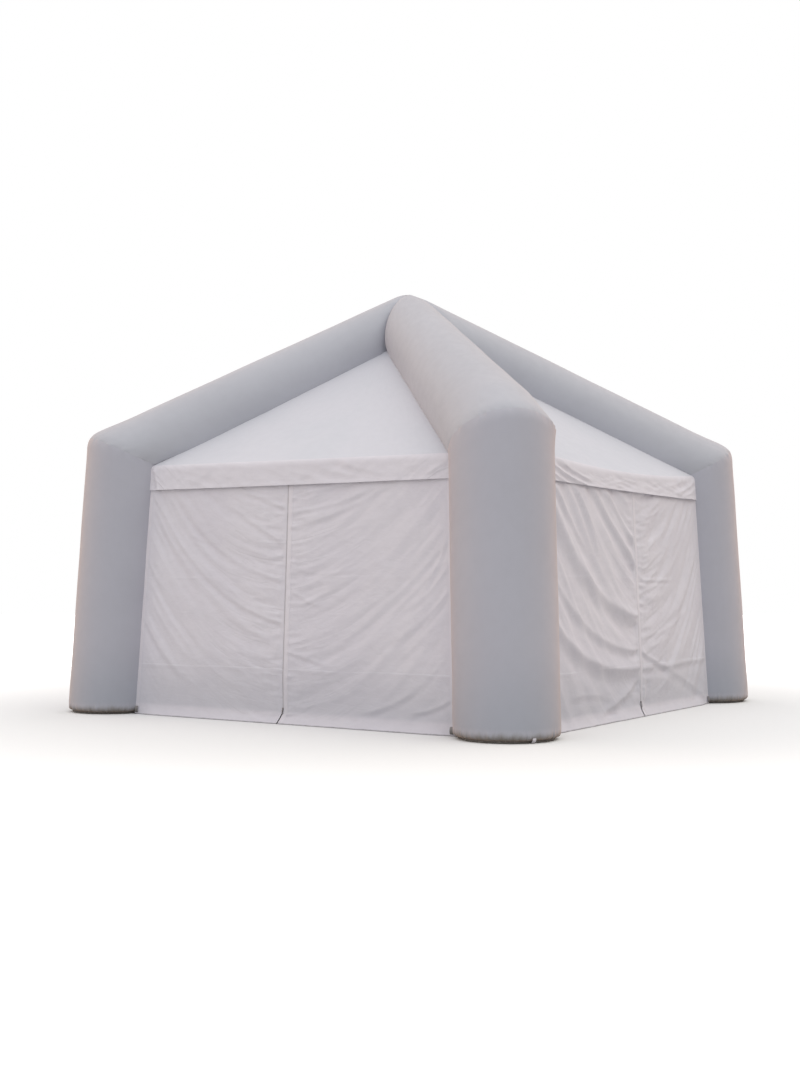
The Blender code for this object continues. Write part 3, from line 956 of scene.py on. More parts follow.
# Swag of each wall half that shows, with the folds that stand out on it
SWAGS = {
    "front_left": Swag(1.4, 2.0, 0.008, 0.0060, 0.013, 1.0, 1.0, 0.7, [
        Fold([(-1.90, 2.42), (-1.08, 1.18), (-0.02, 1.02)], 0.010, 0.022, True, True),
        Fold([(-0.92, 2.35), (-0.48, 2.02), (-0.04, 1.83)], 0.007, 0.022, False, True),
        Fold([(-0.72, 2.41), (-0.30, 2.28), (-0.04, 2.18)], 0.007, 0.020, False, True),
        Fold([(-1.32, 1.94), (-1.18, 1.87), (-1.04, 1.83)], 0.005, 0.012, False, False),
        Fold([(-1.55, 2.38), (-0.98, 1.62), (-0.04, 1.44)], 0.005, 0.022, False, True),
        Fold([(-1.93, 1.70), (-1.40, 0.80), (-0.70, 0.55)], 0.006, 0.026, True, False),
        Fold([(-1.96, 1.05), (-1.55, 0.45), (-0.90, 0.22)], 0.006, 0.026, True, False),
    ]),
    "front_right": Swag(1.2, 1.8, 0.009, 0.0065, 0.014, 5.0, 1.0, 0.7, [
        Fold([(0.03, 2.26), (0.40, 2.37), (0.80, 2.41)], 0.007, 0.018, True, True),
        Fold([(0.03, 2.12), (0.62, 2.16), (1.13, 2.36)], 0.007, 0.020, True, True),
        Fold([(0.03, 1.98), (0.62, 2.04), (1.22, 2.36)], 0.007, 0.022, True, True),
        Fold([(0.04, 1.60), (0.46, 1.40), (1.05, 1.60)], 0.004, 0.018, True, False),
        Fold([(0.04, 1.37), (0.22, 1.23), (0.52, 1.17)], 0.005, 0.018, True, False),
        Fold([(0.04, 0.72), (0.34, 0.66), (0.64, 0.56)], 0.006, 0.018, True, False),
        Fold([(1.38, 1.12), (1.75, 1.26), (1.96, 1.62)], 0.007, 0.024, False, True),
        Fold([(1.58, 1.22), (1.86, 1.58), (1.94, 1.98)], 0.006, 0.020, False, True),
        Fold([(1.22, 0.82), (1.62, 0.96), (1.94, 1.34)], 0.006, 0.030, False, True),
        Fold([(0.92, 0.14), (1.35, 0.21), (1.68, 0.47)], 0.010, 0.022, False, False),
        Fold([(1.50, 0.17), (1.80, 0.21), (2.00, 0.34)], 0.009, 0.020, False, True),
    ]),
    "right_left": Swag(2.2, 1.5, 0.018, 0.005, 0.011, 9.0, 1.8, 1.5, [
        Fold([(-1.85, 2.25), (-1.12, 1.16), (0.11, 1.06)], 0.034, 0.070, True, True),
        Fold([(-1.98, 1.15), (-1.30, 0.47), (0.05, 0.52)], 0.032, 0.066, True, True),
        Fold([(-1.80, 2.40), (-1.40, 2.00), (-0.94, 1.62)], 0.018, 0.032, True, False),
        Fold([(-1.32, 2.40), (-0.96, 2.05), (-0.76, 1.56)], 0.018, 0.032, True, False),
        Fold([(-0.88, 2.40), (-0.55, 2.05), (0.10, 1.60)], 0.030, 0.042, True, True),
        Fold([(-0.62, 2.40), (-0.25, 2.10), (0.10, 1.84)], 0.024, 0.036, True, True),
        Fold([(-1.98, 1.66), (-1.30, 0.78), (-0.04, 0.71)], 0.016, 0.038, True, True),
        Fold([(-0.98, 0.08), (-0.31, 0.20), (0.10, 0.42)], 0.018, 0.045, False, True),
        Fold([(-1.60, 0.28), (-1.10, 0.36), (-0.55, 0.22)], 0.006, 0.030, False, False),
    ]),
    "right_right": Swag(1.5, 2.0, 0.016, 0.009, 0.012, 13.0, 1.4, 0.8, [
        Fold([(0.13, 0.70), (0.40, 0.58), (0.80, 0.49)], 0.014, 0.026, True, True),
        Fold([(0.13, 0.50), (0.90, 0.50), (1.95, 0.53)], 0.010, 0.030, True, True),
        Fold([(0.78, 0.50), (1.30, 0.37), (2.02, 0.08)], 0.008, 0.036, True, True),
        Fold([(0.16, 0.05), (0.22, 0.22), (0.20, 0.48)], 0.014, 0.040, True, False),
        Fold([(0.14, 1.45), (0.60, 1.44), (1.22, 1.45)], 0.008, 0.014, True, False),
        Fold([(1.60, 2.38), (1.05, 1.95), (0.75, 1.65)], 0.006, 0.032, False, False),
        Fold([(1.05, 2.38), (0.70, 1.95), (0.22, 1.62)], 0.006, 0.028, False, False),
        Fold([(1.75, 1.25), (1.05, 0.85), (0.18, 0.84)], 0.007, 0.030, False, True),
    ]),
}
# The back wall hangs as the front does, and the left wall as the right does
HANGS_AS = {"front": "front", "right": "right", "back": "front", "left": "right"}


# Cloth between the tubes

# How far cloth is tucked into a tube's skin, and how the place of that edge is looked for
SEAM_TUCK = 0.006
REACH_STEP = 0.1
REACH_HALVINGS = 16
WALL_TOP_SPARE = 0.03

# Zip: it is open below this height, where it drifts aside on the front and the back; on the
# right and the left its cover reaches over the slit
ZIP_OPEN_HEIGHT = 0.13
ZIP_OPEN_DRIFT = 0.045
SIDE_FLAP_OVER = 0.024

# Wall cloth: folds start this far from the leg and the zip and keep a share right at the zip
FOLDS_OFF_LEG = 0.09
FOLDS_OFF_ZIP = 0.06
FOLDS_AT_ZIP = 0.25
UNDER_VALANCE = 0.002
UNDER_VALANCE_REACH = 0.1

# Hem along a wall's and a valance's free edge: it is stiffer and a step thicker
HEM_HEIGHT = 0.055
HEM_STEP = 0.0015
HEM_FOLDS = 0.5

# The foot of a wall leans in below the lower packing crease and spreads out on the ground,
# except beside the legs
LEAN_HEIGHTS = (0.54, 0.14)
LEAN = 0.02
SPREAD_HEIGHT = 0.13
SPREAD = 0.046
SPREAD_OFF_LEG = 0.3

# How far the cloth's eave and the valance's free edge are above those of the solids, at the
# left end, in the middle and at the right end
EAVE_SHIFTS = {"front": (0.062, 0.022, -0.017), "right": (-0.055, -0.103, -0.005)}
EDGE_SHIFTS = {"front": (0.020, -0.008, -0.028), "right": (-0.022, -0.025, -0.004)}


def through(heights, share):
    """Height at a share across, on the smooth line through the two ends and the middle."""
    left, middle, right = heights
    ends = left * (1 - share) * (1 - 2 * share) + right * share * (2 * share - 1)
    return ends + 4 * middle * share * (1 - share)


class Side:
    """Planes of one wall, its valance and its roof panel, as the solids have them."""

    def __init__(
        self, name, left, right, seam_turn, eave_height, zip_at=0.0, drift=0.0, flap_over=0.0
    ):
        self.name = name
        self.left = corners[left]
        self.right = corners[right]
        self.zip_at = zip_at
        self.drift = drift
        self.flap_over = flap_over
        self.hangs_as = HANGS_AS[name]
        self.along = (self.right.foot - self.left.foot).normalized()
        out = self.along.cross(UP)

        def seam_point(corner, height):
            reach = self.along * cos(seam_turn) + out * sin(seam_turn)
            return corner.leg_axis_at(height) + LEG_RADIUS * reach

        bottom = seam_point(self.left, 0)
        top = seam_point(self.left, KNEE_HEIGHT)
        middle = self.along * self.along.dot(self.left.foot + self.right.foot) / 2
        self.wall_foot = bottom - self.along * self.along.dot(bottom) + middle
        slant = top - bottom
        self.wall_up = (slant - self.along * self.along.dot(slant)).normalized()
        self.wall_out = self.along.cross(self.wall_up).normalized()
        peak = (self.left.rafter_seam(self.right) + self.right.rafter_seam(self.left)) / 2
        face = WALL_THICKNESS / 2 + GAP + VALANCE_THICKNESS
        self.eave_up = eave_height / self.wall_up.z
        self.eave = self.wall_foot + self.wall_out * face + self.wall_up * self.eave_up
        self.wall_top = self.eave_up + min(0.0, *EAVE_SHIFTS[self.hangs_as]) - WALL_TOP_SPARE
        slope = peak - self.eave
        slope -= self.along * self.along.dot(slope)
        self.roof_length = slope.length
        self.roof_up = slope.normalized()
        self.roof_out = self.along.cross(self.roof_up).normalized()
        self.peak_shift = self.along.dot(PEAK_AXIS)
        self.edges = {}

    def eave_shift(self, share, travel):
        """How far the roof cloth is above the solids, at a distance up from the eave."""
        return through(EAVE_SHIFTS[self.hangs_as], share) * fall(travel / self.roof_length)

    def wall_point(self, x, z, out):
        """Point at metres along the wall from its middle, up it and out of it."""
        return self.wall_foot + self.along * x + self.wall_up * z + self.wall_out * out

    def reach(self, key, point, start, corner, way):
        """Place along the side where a level line through a point meets a corner's tubes."""
        found = self.edges.get((key, way))
        if found is None:
            near = far = start
            while corner.distance(point + self.along * far) > -SEAM_TUCK:
                near = far
                far += way * REACH_STEP
            for _ in range(REACH_HALVINGS):
                middle = (near + far) / 2
                if corner.distance(point + self.along * middle) > -SEAM_TUCK:
                    near = middle
                else:
                    far = middle
            found = near
            self.edges[key, way] = found
        return found

    def wall_turn(self):
        """Turn that lays a shape's X, Y and Z along, into and up the wall."""
        return Matrix((self.along, -self.wall_out, self.wall_up)).transposed().to_4x4()

    def wall_reach(self, z, way):
        """Place along the wall of its seam with the leg on one side."""
        corner = self.left if way < 0 else self.right
        return self.reach(("wall", round(z, 5)), self.wall_point(0, z, 0), 0, corner, way)

    def zip_place(self, z):
        """Middle of the zip, which drifts aside where it is left open at the bottom."""
        return self.zip_at - self.drift * max(0.0, 1 - z / ZIP_OPEN_HEIGHT)

    def wall_height(self, x, z):
        """Height of the wall's folds off its plane."""
        half = "left" if x < self.zip_place(z) else "right"
        way = -1 if half == "left" else 1
        from_leg = abs(self.wall_reach(z, way) - x)
        from_zip = abs(x - self.zip_place(z))
        height = SWAGS[self.hangs_as + "_" + half].at(x, z, from_leg, from_zip)
        height *= rise(from_leg / FOLDS_OFF_LEG)
        height *= mix(FOLDS_AT_ZIP, 1.0, rise((from_zip - FLAP_WIDTH / 2) / FOLDS_OFF_ZIP))
        if z < HEM_HEIGHT:
            height = height * HEM_FOLDS + HEM_STEP
        lean = LEAN * rise((LEAN_HEIGHTS[0] - z) / (LEAN_HEIGHTS[0] - LEAN_HEIGHTS[1]))
        spread = SPREAD * fall(z / SPREAD_HEIGHT)
        height += (spread - lean) * rise(from_leg / SPREAD_OFF_LEG)
        under = rise((z - VALANCE_BOTTOM + UNDER_VALANCE_REACH) / UNDER_VALANCE_REACH)
        return mix(height, min(height, UNDER_VALANCE), under)


SIDES = [
    Side("front", "front_left", "front_right", FRONT_SEAM_TURN, FRONT_EAVE_HEIGHT,
         drift=ZIP_OPEN_DRIFT),
    Side("right", "front_right", "back_right", SIDE_SEAM_TURN, SIDE_EAVE_HEIGHT,
         zip_at=RIGHT_ZIP_SHIFT, flap_over=SIDE_FLAP_OVER),
    Side("back", "back_right", "back_left", FRONT_SEAM_TURN, FRONT_EAVE_HEIGHT,
         drift=ZIP_OPEN_DRIFT),
    Side("left", "back_left", "front_left", SIDE_SEAM_TURN, SIDE_EAVE_HEIGHT,
         flap_over=SIDE_FLAP_OVER),
]

# Drawn three times as thick as the real half millimetre, so that no face cuts another
CLOTH_THICKNESS = 0.0015


def make_cloth(columns, rows, cut_size, place, hang=None):
    """Grid of cloth. place gives the point for a share across and a share up the cut, and
    hang how far along its swag that point is and which swag it is on."""
    bm = bmesh.new()
    bmesh.ops.create_grid(bm, x_segments=columns, y_segments=rows, size=0.5)
    cut = bm.loops.layers.uv.new("cut")
    swag = bm.loops.layers.uv.new("swag") if hang else None
    for vert in bm.verts:
        across = vert.co.x + 0.5
        up = vert.co.y + 0.5
        for loop in vert.link_loops:
            loop[cut].uv = (across * cut_size[0], up * cut_size[1])
            if hang:
                loop[swag].uv = hang(across, up)
        vert.co = place(across, up)
    return bm


def thicken(piece, thickness):
    """Give a sheet its two faces and its rim, on the inner side."""
    solid = piece.modifiers.new("thickness", "SOLIDIFY")
    solid.thickness = thickness
    solid.offset = -1
    solid.use_even_offset = False
    thick = bpy.data.meshes.new_from_object(
        piece.evaluated_get(bpy.context.evaluated_depsgraph_get())
    )
    piece.modifiers.clear()
    thin = piece.data
    piece.data = thick
    bpy.data.meshes.remove(thin)
    thick.name = piece.name
    thick.set_sharp_from_angle(angle=CLOTH_SHARP_EDGE)


# Walls: steps are closer together at a half's two upright edges; the cloth is cut a little
# larger than the opening, which is why it swags, and is as wide as the opening is 1 m up
WALL_COLUMNS = 80
WALL_ROWS = 190
WALL_CROWDING = 0.5
WALL_BOTTOM = 0.0002
WALL_WIDTH_HEIGHT = 1.0


def build_wall_half(side, half):
    way = -1 if half == "left" else 1
    top = side.wall_top
    width = abs(side.wall_reach(WALL_WIDTH_HEIGHT, way) - side.zip_at)
    swag = SWAGS[side.hangs_as + "_" + half]

    def place(across, up):
        z = mix(WALL_BOTTOM, top, up)
        leg = side.wall_reach(z, way)
        opening = side.zip_place(z) + way * ZIP_WIDTH / 2
        ends = (leg, opening) if half == "left" else (opening, leg)
        x = mix(*ends, crowded(across, WALL_CROWDING))
        return side.wall_point(x, z, side.wall_height(x, z))

    def hang(across, up):
        along = crowded(across, WALL_CROWDING)
        if half == "right":
            along = 1 - along
        return along, swag.level(mix(WALL_BOTTOM, top, up), along) / swag.spread

    bm = make_cloth(WALL_COLUMNS, WALL_ROWS, (width, top), place, hang)
    piece = finish_piece(
        f"wall_cloth_{side.name}_{half}", bm, wall_polyester,
        [f"wall_{side.name}_{half}_half"],
    )
    thicken(piece, CLOTH_THICKNESS)


# Eave: the roof cloth turns over it in a soft roll, a little shorter than the corner that it
# rounds off, and hangs down as the valance
ROLL_BELOW = 0.05
ROLL_ABOVE = 0.04
ROLL_SHORTER = 0.94
VALANCE_HEM = 0.03
VALANCE_COLUMNS = 170
VALANCE_ROWS = 26
VALANCE_CROWDING = 0.5
VALANCE_SLANT = 1.1
VALANCE_WIDTH_HEIGHT = 2.5

# Unevenness of the valance: slow waves with their height and their sizes along and up; and
# two sets of slanting creases with their height, their pitch along and up, how far they run up
# and along, and what is added to their seed
VALANCE_WAVES = (0.006, 0.5, 0.6)
VALANCE_CREASES = ((0.0035, 0.34, 0.13, 0.2, -0.9, 5), (0.0025, 0.21, -0.12, 0.2, 0.8, 9))

# Near the legs the valance lies calm and doesn't stand off the wall
VALANCE_CALM = 0.06
VALANCE_FLARE = 0.022
FLARE_POWER = 1.5
FLARE_OFF_LEG = 0.2

# Folds that stand out on the valances that show
VALANCE_FOLDS = {
    "front": [
        Fold([(-1.90, 2.62), (-1.84, 2.54), (-1.80, 2.41)], 0.010, 0.022, True, True),
        Fold([(1.66, 2.45), (1.78, 2.50), (1.92, 2.58)], 0.009, 0.022, False, True),
        Fold([(-1.40, 2.44), (-1.15, 2.50), (-1.00, 2.60)], 0.004, 0.030, False, False),
        Fold([(0.60, 2.60), (0.95, 2.52), (1.25, 2.46)], 0.004, 0.030, False, False),
    ],
    "right": [
        Fold([(-1.95, 2.66), (-1.50, 2.52), (-1.10, 2.42)], 0.016, 0.028, True, True),
        Fold([(-1.72, 2.70), (-1.25, 2.57), (-0.85, 2.46)], 0.014, 0.026, True, False),
        Fold([(-1.95, 2.54), (-1.70, 2.48), (-1.50, 2.42)], 0.010, 0.022, True, True),
        Fold([(1.95, 2.66), (1.60, 2.50), (1.15, 2.46)], 0.012, 0.028, True, False),
        Fold([(1.98, 2.58), (1.75, 2.48), (1.45, 2.43)], 0.010, 0.024, True, False),
        Fold([(1.70, 2.70), (1.30, 2.58), (0.90, 2.55)], 0.006, 0.028, False, False),
    ],
}


def valance_height(side, x, z, to_leg, calm):
    """Height of the valance's folds, and how far its free edge stands off the wall."""
    seed = side.peak_shift * 40
    height, size_along, size_up = VALANCE_WAVES
    wave = waver(x / size_along, z / size_up, seed) * height
    for height, pitch, pitch_up, run_up, run_along, more in VALANCE_CREASES:
        slant = x / pitch + z / pitch_up
        wave += crease(slant, z / run_up + x / run_along, seed + more) * height
    for fold in VALANCE_FOLDS[side.hangs_as]:
        wave += fold.at(x, z)
    down = min(max((side.eave_up - z) / (side.eave_up - VALANCE_BOTTOM), 0.0), 1.0)
    flare = VALANCE_FLARE * down ** FLARE_POWER * rise(to_leg / FLARE_OFF_LEG)
    if z < VALANCE_BOTTOM + VALANCE_HEM:
        wave += HEM_STEP
    return wave * rise(to_leg / VALANCE_CALM) * calm + flare


def build_valance(side):
    face = WALL_THICKNESS / 2 + GAP + VALANCE_THICKNESS / 2
    low = VALANCE_BOTTOM / side.wall_up.z
    straight = side.eave_up - ROLL_BELOW - low
    roll = (ROLL_BELOW + ROLL_ABOVE) * ROLL_SHORTER
    height = straight + roll
    ends = [side.wall_reach(VALANCE_WIDTH_HEIGHT, way) for way in (-1, 1)]
    width = ends[1] - ends[0]
    corner_point = side.wall_point(0, side.eave_up, face)
    roll_start = corner_point - side.wall_up * ROLL_BELOW
    roll_end = side.eave + side.roof_up * ROLL_ABOVE

    def profile(up):
        """Point at the side's middle, the way out there, its height up the wall and how far
        round the roll it is."""
        travel = up * height
        if travel < straight:
            z = low + travel
            return side.wall_point(0, z, face), side.wall_out, z, 0
        share = (travel - straight) / roll
        first = roll_start.lerp(corner_point, share)
        point = first.lerp(corner_point.lerp(roll_end, share), share)
        out = side.wall_out.lerp(side.roof_out, share).normalized()
        return point, out, side.eave_up - ROLL_BELOW * (1 - share), share

    def shift(share, up, rolled):
        """How far the cloth is above the solids here."""
        eave = side.eave_shift(share, ROLL_ABOVE * rolled)
        edge = through(EDGE_SHIFTS[side.hangs_as], share)
        return UP * mix(edge, eave, min(up * height / straight, 1.0))

    def place(across, up):
        middle, out, z, rolled = profile(up)
        key = ("valance", round(up, 5))
        left = side.reach(key, middle + shift(0, up, rolled), 0, side.left, -1)
        right = side.reach(key, middle + shift(1, up, rolled), 0, side.right, 1)
        share = crowded(across, VALANCE_CROWDING)
        x = mix(left, right, share)
        off = valance_height(side, x, z, min(x - left, right - x), 1 - rolled)
        return middle + shift(share, up, rolled) + side.along * x + out * off

    def hang(across, up):
        along = abs(2 * crowded(across, VALANCE_CROWDING) - 1)
        return along, up * height - along * VALANCE_SLANT

    bm = make_cloth(VALANCE_COLUMNS, VALANCE_ROWS, (width, height), place, hang)
    piece = finish_piece(
        "valance_cloth_" + side.name, bm, valance_polyester,
        ["valance_" + side.name],
    )
    thicken(piece, CLOTH_THICKNESS)


# Roof: it sags a little in the middle, puckers along the rafters and waves slowly. The sizes
# of puckers and waves are those along and up the roof; both grow away from the rafters and
# from the eave's roll
ROOF_COLUMNS = 80
ROOF_ROWS = 60
ROOF_CROWDING = 0.4
ROOF_TOP_HALVINGS = 24
ROOF_SAG = 0.018
ROOF_SAG_POWER = 0.7
ROOF_PUCKER = 0.003
ROOF_PUCKER_SIZES = (0.3, 0.09)
ROOF_PUCKER_START = 0.02
ROOF_PUCKER_END = 0.25
ROOF_PUCKER_OFF_EAVE = 0.1
ROOF_WAVE = 0.003
ROOF_WAVE_SIZES = (0.5, 0.9)
ROOF_WAVE_OFF_EDGES = 0.2


def build_roof(side):
    def middle_at(travel):
        return side.eave + side.roof_up * travel

    def centre_at(travel):
        return side.peak_shift * travel / side.roof_length

    def ends_at(travel):
        middle = middle_at(travel)
        centre = centre_at(travel)
        key = ("roof", round(travel, 5))
        low = UP * side.eave_shift(0, travel)
        left = side.reach(key, middle + low, centre, side.left, -1)
        low = UP * side.eave_shift(1, travel)
        right = side.reach(key, middle + low, centre, side.right, 1)
        return left, right

    top, beyond = 0.0, side.roof_length
    for _ in range(ROOF_TOP_HALVINGS):
        half_way = (top + beyond) / 2
        point = middle_at(half_way) + side.along * centre_at(half_way)
        if min(side.left.distance(point), side.right.distance(point)) > -SEAM_TUCK:
            top = half_way
        else:
            beyond = half_way
    low_left, low_right = ends_at(ROLL_ABOVE)
    width = low_right - low_left

    def place(across, up):
        travel = mix(ROLL_ABOVE, top, up)
        left, right = ends_at(travel)
        share = crowded(across, ROOF_CROWDING)
        x = mix(left, right, share)
        inside = min(x - left, right - x)
        from_eave = travel - ROLL_ABOVE
        seed = side.peak_shift * 30
        sag = ROOF_SAG * sin(pi * across) * sin(pi * up) ** ROOF_SAG_POWER
        pucker = waver(travel / ROOF_PUCKER_SIZES[1], x / ROOF_PUCKER_SIZES[0], seed)
        pucker *= fall(inside / ROOF_PUCKER_END) * rise(inside / ROOF_PUCKER_START)
        pucker *= ROOF_PUCKER * rise(from_eave / ROOF_PUCKER_OFF_EAVE)
        slow = waver(x / ROOF_WAVE_SIZES[0], travel / ROOF_WAVE_SIZES[1], seed + 4)
        slow *= rise(inside / ROOF_WAVE_OFF_EDGES) * rise(from_eave / ROOF_WAVE_OFF_EDGES)
        off = pucker + ROOF_WAVE * slow - sag
        shift = UP * side.eave_shift(share, travel)
        return middle_at(travel) + shift + side.along * x + side.roof_out * off

    bm = make_cloth(ROOF_COLUMNS, ROOF_ROWS, (width, top - ROLL_ABOVE), place)
    piece = finish_piece(
        "roof_cloth_" + side.name, bm, roof_polyester, ["roof_" + side.name]
    )
    thicken(piece, CLOTH_THICKNESS)


# Zip: a pale tape behind the slit between the wall halves, the coil on it and its slider
TAPE_WIDTH = 0.036
TAPE_BEHIND = 0.0018
TAPE_THICKNESS = 0.001
TAPE_STEPS = (4, 150)

# Teeth of the coil, drawn larger than real so that they show; they lie by turns to the left
# and to the right
TOOTH_PITCH = 0.008
TOOTH_SIZE = Vector((0.008, 0.0024, 0.005))
TOOTH_OFF = 0.0012
COIL_SPARE = 0.02

# Slider: a body that narrows at its lower end, a little above the zip's open foot, and a pull
# tab that hangs below it and lies on the cloth as far down as it reaches. Sizes are width,
# depth and height
SLIDER_SIZE = (0.016, 0.009, 0.024)
SLIDER_OUT = 0.004
SLIDER_ABOVE = 0.02
SLIDER_NARROWER = 0.35
SLIDER_LOW_END = 0.004
SLIDER_BEVEL = 0.001
PULL_SIZE = (0.011, 0.0025, 0.045)
PULL_OUT = 0.011
PULL_BELOW = 0.032
PULL_REACH = 0.05

# Cover strip along the zip's right edge: how far it is lifted off the wall at its free and at
# its sewn edge, how far it bulges, and where it begins to reach over the slit
FLAP_LIFT = 0.0030
FLAP_EDGE_LIFT = 0.0018
FLAP_ROLL = 0.0015
FLAP_OVER_FROM = 0.19
FLAP_OVER_RISE = 0.12
FLAP_THICKNESS = 0.0015
FLAP_STEPS = (10, 150)


def build_tape(side):
    top = side.wall_top

    def tape_place(across, up):
        z = mix(ZIP_OPEN_HEIGHT, top, up)
        x = side.zip_at + (across - 0.5) * TAPE_WIDTH
        return side.wall_point(x, z, side.wall_height(x, z) - TAPE_BEHIND)

    bm = make_cloth(*TAPE_STEPS, (TAPE_WIDTH, top - ZIP_OPEN_HEIGHT), tape_place)
    tape = finish_piece(
        "zip_tape_" + side.name, bm, zip_tape_weave, ["zip_" + side.name]
    )
    thicken(tape, TAPE_THICKNESS)

    teeth = bmesh.new()
    z = ZIP_OPEN_HEIGHT + TOOTH_PITCH
    way = -1
    turn = side.wall_turn()
    while z < VALANCE_BOTTOM + COIL_SPARE:
        x = side.zip_at + way * TOOTH_OFF
        off = side.wall_height(x, z) - TAPE_BEHIND + TOOTH_SIZE.y / 2
        place = Matrix.Translation(side.wall_point(x, z, off)) @ turn
        bmesh.ops.create_cube(teeth, size=1, matrix=place @ Matrix.Diagonal((*TOOTH_SIZE, 1)))
        z += TOOTH_PITCH
        way = -way
    coil = finish_piece("zip_coil_" + side.name, teeth, coil_nylon)


def build_slider(side):
    slider = bmesh.new()
    turn = side.wall_turn()
    z = ZIP_OPEN_HEIGHT + SLIDER_ABOVE
    face = side.wall_height(side.zip_at, z)
    centre = side.wall_point(side.zip_at, z, face + SLIDER_OUT)
    place = Matrix.Translation(centre) @ turn
    body = bmesh.ops.create_cube(
        slider, size=1, matrix=place @ Matrix.Diagonal((*SLIDER_SIZE, 1))
    )
    low = min(body["verts"], key=lambda vert: vert.co.z).co.z
    for vert in body["verts"]:
        if vert.co.z < low + SLIDER_LOW_END:
            vert.co += (centre - vert.co).project(side.along) * SLIDER_NARROWER
    face = max(face, side.wall_height(side.zip_at, z - PULL_REACH))
    pull = side.wall_point(side.zip_at, z - PULL_BELOW, face + PULL_OUT)
    place = Matrix.Translation(pull) @ turn
    bmesh.ops.create_cube(slider, size=1, matrix=place @ Matrix.Diagonal((*PULL_SIZE, 1)))
    bmesh.ops.bevel(
        slider, geom=slider.edges[:], offset=SLIDER_BEVEL, segments=2, profile=0.5,
        affect="EDGES", material=-1,
    )
    finish_piece("zip_slider_" + side.name, slider, slider_zinc)


def build_flap(side):
    free_lift = FLAP_EDGE_LIFT if side.flap_over else FLAP_LIFT
    flap_top = VALANCE_BOTTOM / side.wall_up.z - FLAP_DROP

    def flap_place(across, up):
        z = mix(WALL_CLEARANCE * 2, flap_top, up)
        over = side.flap_over * rise((z - FLAP_OVER_FROM) / FLAP_OVER_RISE)
        x = side.zip_place(z) + ZIP_WIDTH / 2 - over + across * FLAP_WIDTH
        lift = mix(free_lift, FLAP_EDGE_LIFT, across)
        lift += FLAP_ROLL * sin(pi * across) ** 0.5 * (1 - across)
        return side.wall_point(x, z, side.wall_height(x, z) + lift)

    flap = finish_piece(
        "zip_cover_" + side.name,
        make_cloth(*FLAP_STEPS, (FLAP_WIDTH, flap_top), flap_place),
        flap_polyester, ["zip_flap_" + side.name],
    )
    thicken(flap, FLAP_THICKNESS)


# Tie strap: a loop of webbing, both ends sewn to the foot of the wall
LOOP_STAND_OFF = 0.016
LOOP_POWER = 0.8
LOOP_OFF_WALL = 0.004
LOOP_THICKNESS = 0.002
LOOP_STEPS = (4, 24)
STRAP_MIDDLE = 0.05


def build_strap(side, half):
    way = 1 if half == "left" else -1
    edge = side.wall_reach(STRAP_MIDDLE, -way) + way * (STRAP_INSET + SEAM_TUCK)
    start = min(edge, edge + way * STRAP_WIDTH)
    low = WALL_CLEARANCE * 2
    length = pi / 2 * STRAP_HEIGHT

    def place(across, up):
        turn = pi * up
        z = low + STRAP_HEIGHT * (1 - cos(turn)) / 2
        out = LOOP_STAND_OFF * sin(turn) ** LOOP_POWER + LOOP_OFF_WALL
        return side.wall_point(start + across * STRAP_WIDTH, z, out)

    bm = make_cloth(*LOOP_STEPS, (STRAP_WIDTH, length), place)
    piece = finish_piece(
        f"strap_loop_{side.name}_{half}", bm, webbing,
        [f"tie_strap_{side.name}_{half}"],
    )
    thicken(piece, LOOP_THICKNESS)


# Seam strip: a tape of the wall cloth sewn over each edge along a leg
STRIP_WIDTH = 0.045
STRIP_LIFT = 0.0012
STRIP_THICKNESS = 0.0012
STRIP_STEPS = (4, 120)


def build_seam_strip(side, half):
    way = -1 if half == "left" else 1
    low = WALL_CLEARANCE * 1.5
    top = VALANCE_BOTTOM / side.wall_up.z

    def place(across, up):
        z = mix(low, top, up)
        leg = side.wall_reach(z, way)
        ends = (leg, leg - way * STRIP_WIDTH)
        x = mix(*(ends if half == "left" else ends[::-1]), across)
        return side.wall_point(x, z, side.wall_height(x, z) + STRIP_LIFT)

    bm = make_cloth(*STRIP_STEPS, (STRIP_WIDTH, top - low), place)
    piece = finish_piece(
        f"seam_strip_{side.name}_{half}", bm, flap_polyester
    )
    thicken(piece, STRIP_THICKNESS)


# Tab: a short end of white tape that shows at the foot of the leg nearest the viewer
TAB_WIDTH = 0.035
TAB_HEIGHT = 0.045
TAB_WAY = radians(58.5)
TAB_INSIDE = 0.002
TAB_TUCK = 0.030
TAB_BULGE = 0.004
TAB_ABOVE = 0.003
TAB_STEPS = (6, 12)


def build_tab(corner):
    out = Vector((sin(TAB_WAY), -cos(TAB_WAY), 0))
    side_way = UP.cross(out)

    def place(across, up):
        reach = LEG_RADIUS - TAB_INSIDE - TAB_TUCK * (1 - up) ** 2 + TAB_BULGE * sin(pi * up)
        point = corner.foot + out * reach + side_way * (across - 0.5) * TAB_WIDTH
        return point + UP * (TAB_ABOVE + TAB_HEIGHT * up)

    bm = make_cloth(*TAB_STEPS, (TAB_WIDTH, TAB_HEIGHT), place)
    piece = finish_piece("tape_tab_" + corner.name, bm, flap_polyester)
    thicken(piece, STRIP_THICKNESS)


build_tab(corners["front_right"])
for side in SIDES:
    build_roof(side)
    build_valance(side)
    for half in ("left", "right"):
        build_wall_half(side, half)
    build_tape(side)
    build_slider(side)
    build_flap(side)
    for half in ("left", "right"):
        build_seam_strip(side, half)
        build_strap(side, half)


# Stage and light

# Floor: pale paper that brightens between two distances from the tent, so that it meets the
# white all round; the colour that it throws back up is a little darker than the one seen
FLOOR_RADIUS = 60
FLOOR_BELOW = 0.001
FLOOR_FADE = (4.0, 14.0)
FLOOR_GLOW = 0.9
FLOOR_COLOUR = "#F0F0F0"
FLOOR_BOUNCE = "#C4C3C0"


